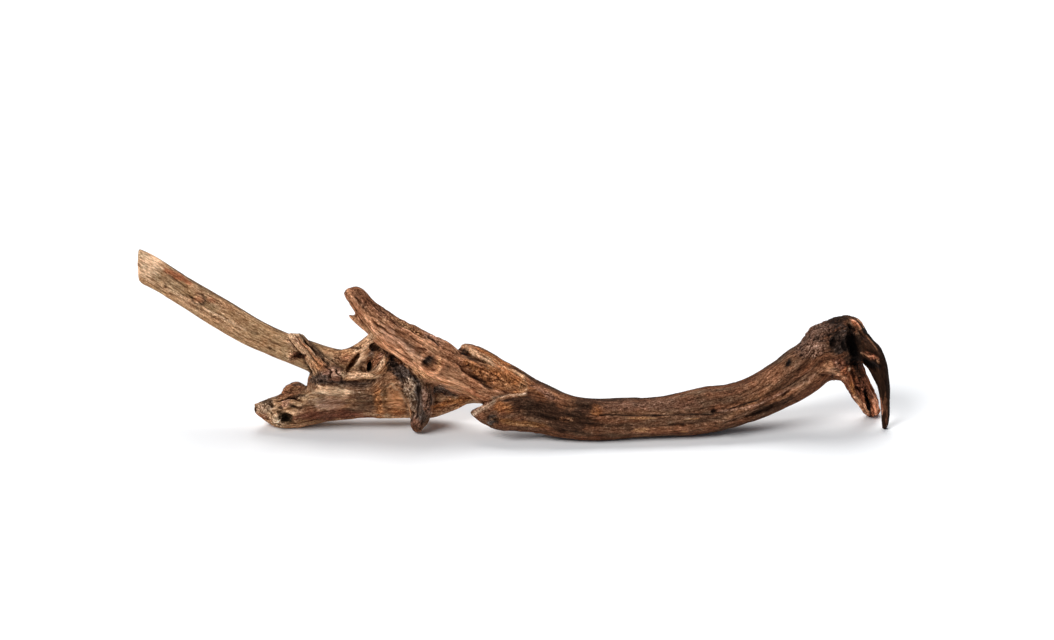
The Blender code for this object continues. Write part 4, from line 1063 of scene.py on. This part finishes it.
finish = dict(
    gain=(1.155, 1.05, 0.955, 1),
    # painted shade: the colour that hollows and grooves are darkened towards
    paintedHollowShade=(0.22, 0.17, 0.14, 1),
    # painted highlight: what crests standing out of their surroundings are lightened by
    paintedCrestHighlight=(1.42, 1.46, 1.52, 1),
    roughness=0.97,
    fibreShine=-0.35,  # what a full fibre adds to the roughness
    specular=0.07,
    bumpHeight=0.0013,
)


def weatheredWood():
    material = bpy.data.materials.new("weatheredWood")
    graph = Graph(material)

    def read(name, channel="Fac"):
        return graph.node("ShaderNodeAttribute", {"attribute_name": name}, output=channel)

    grainPlace, colour = read("grain", "Vector"), read("tone", "Color")
    cavityDepth, crackDepth, crumbAmount = read("cavity"), read("crack"), read("crumb")
    objectPlace = stretched(graph, graph.node("ShaderNodeTexCoord", output="Object"), (1 / mm,) * 3)
    ungrained = ("warm", "grit")
    amounts = {"fleck": (crumbAmount + 1.0).clamped(), "grit": (crumbAmount * 1.3 + 0.5).clamped()}
    level = {}
    for name, (waves, detail, roughness, twist, stops) in layers.items():
        vector = objectPlace if name in ungrained else grainPlace
        level[name] = speckle(graph, vector, waves, detail, roughness, twist)
        tint = graph.node("ShaderNodeValToRGB", {"stops": stops}, {"Fac": level[name]}, "Color")
        colour = tinted(graph, amounts.get(name, 1.0), colour, tint)
    # painted shade in hollows and grooves, by how deep they lie under their surroundings
    colour = tinted(graph, (cavityDepth * 1.5 + crackDepth * 0.4).clamped(), colour, finish["paintedHollowShade"])
    # painted highlight on crests, by how far they stand out
    colour = tinted(graph, (cavityDepth * -1.3).clamped(), colour, finish["paintedCrestHighlight"])
    colour = tinted(graph, 1.0, colour, finish["gain"])
    height = level["fibre"] * 0.5 + level["fleck"] * 0.45
    height = height + level["grit"] * (crumbAmount * 0.8 + 0.25).clamped()
    bump = graph.node("ShaderNodeBump", inputs={
        "Strength": 1.0, "Distance": finish["bumpHeight"], "Height": height})
    roughness = (level["fibre"] * finish["fibreShine"] + finish["roughness"]).clamped()
    graph.shade(colour, roughness, finish["specular"], bump)
    return material


print("finish: wood material")
wood.data.materials.clear()
wood.data.materials.append(weatheredWood())
wood.data.shade_smooth()
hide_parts("driftwood")
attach(wood, "root")

# Floor, lights and camera

studio = dict(
    floorSize=14.0,
    floorTone=(0.93, 0.93, 0.93, 1),
    floorRoughness=0.95,
    lamps={  # where the light comes from, strength, spread in degrees
        "softKey": ((-0.53, -0.43, 0.73), 2.1, 32),
        "softBack": ((0.0, 0.56, 0.83), 2.5, 40),
    },
    worldStrength=0.16,
    worldTint=(0.88, 0.98, 1.12, 1),
    lens=180,
    sensor=36,
    seeTo=50,  # metres
    imageWidth=1054,
    mmPerPixel=0.75,
    aim=(-54.75, 88.3),  # mm along and up the leaning plane, at the middle of the picture
)


def buildStudio():
    size = studio["floorSize"]
    corners = np.array([(-size, -size, 0), (size, -size, 0), (size, size, 0), (-size, size, 0)]) / mm
    floor = objectFrom("studioFloor", corners, np.array([(0, 1, 2, 3)]))
    paper = bpy.data.materials.new("palePaper")
    Graph(paper).shade(studio["floorTone"], studio["floorRoughness"], 0.0)
    floor.data.materials.append(paper)
    world = bpy.data.worlds.new("studioSky")
    world.use_nodes = True
    sky = world.node_tree.nodes["Background"]
    sky.inputs["Color"].default_value = studio["worldTint"]
    sky.inputs["Strength"].default_value = studio["worldStrength"]
    bpy.context.scene.world = world
    for name, (source, strength, spread) in studio["lamps"].items():
        lamp = bpy.data.lights.new(name, "SUN")
        lamp.energy = strength
        lamp.angle = math.radians(spread)
        lampObject = bpy.data.objects.new(name, lamp)
        lampObject.rotation_euler = Vector(source).to_track_quat("Z", "Y").to_euler()
        bpy.context.scene.collection.objects.link(lampObject)


def buildCamera():
    camera = bpy.data.cameras.new("photoCamera")
    camera.lens = studio["lens"]
    camera.sensor_width = studio["sensor"]
    camera.clip_end = studio["seeTo"]
    # distance = lens times the width of what is seen over the sensor's width
    distance = studio["lens"] * studio["imageWidth"] * studio["mmPerPixel"] / studio["sensor"]
    along, rise = studio["aim"]
    made = bpy.data.objects.new("photoCamera", camera)
    made.location = [float(v) * mm for v in place(along, rise, -distance)]
    made.rotation_euler = (math.pi / 2 - lean, 0, 0)
    bpy.context.scene.collection.objects.link(made)
    bpy.context.scene.camera = made


print("studio: floor, light and camera")
buildStudio()
buildCamera()
bpy.context.scene.view_settings.view_transform = "Standard"
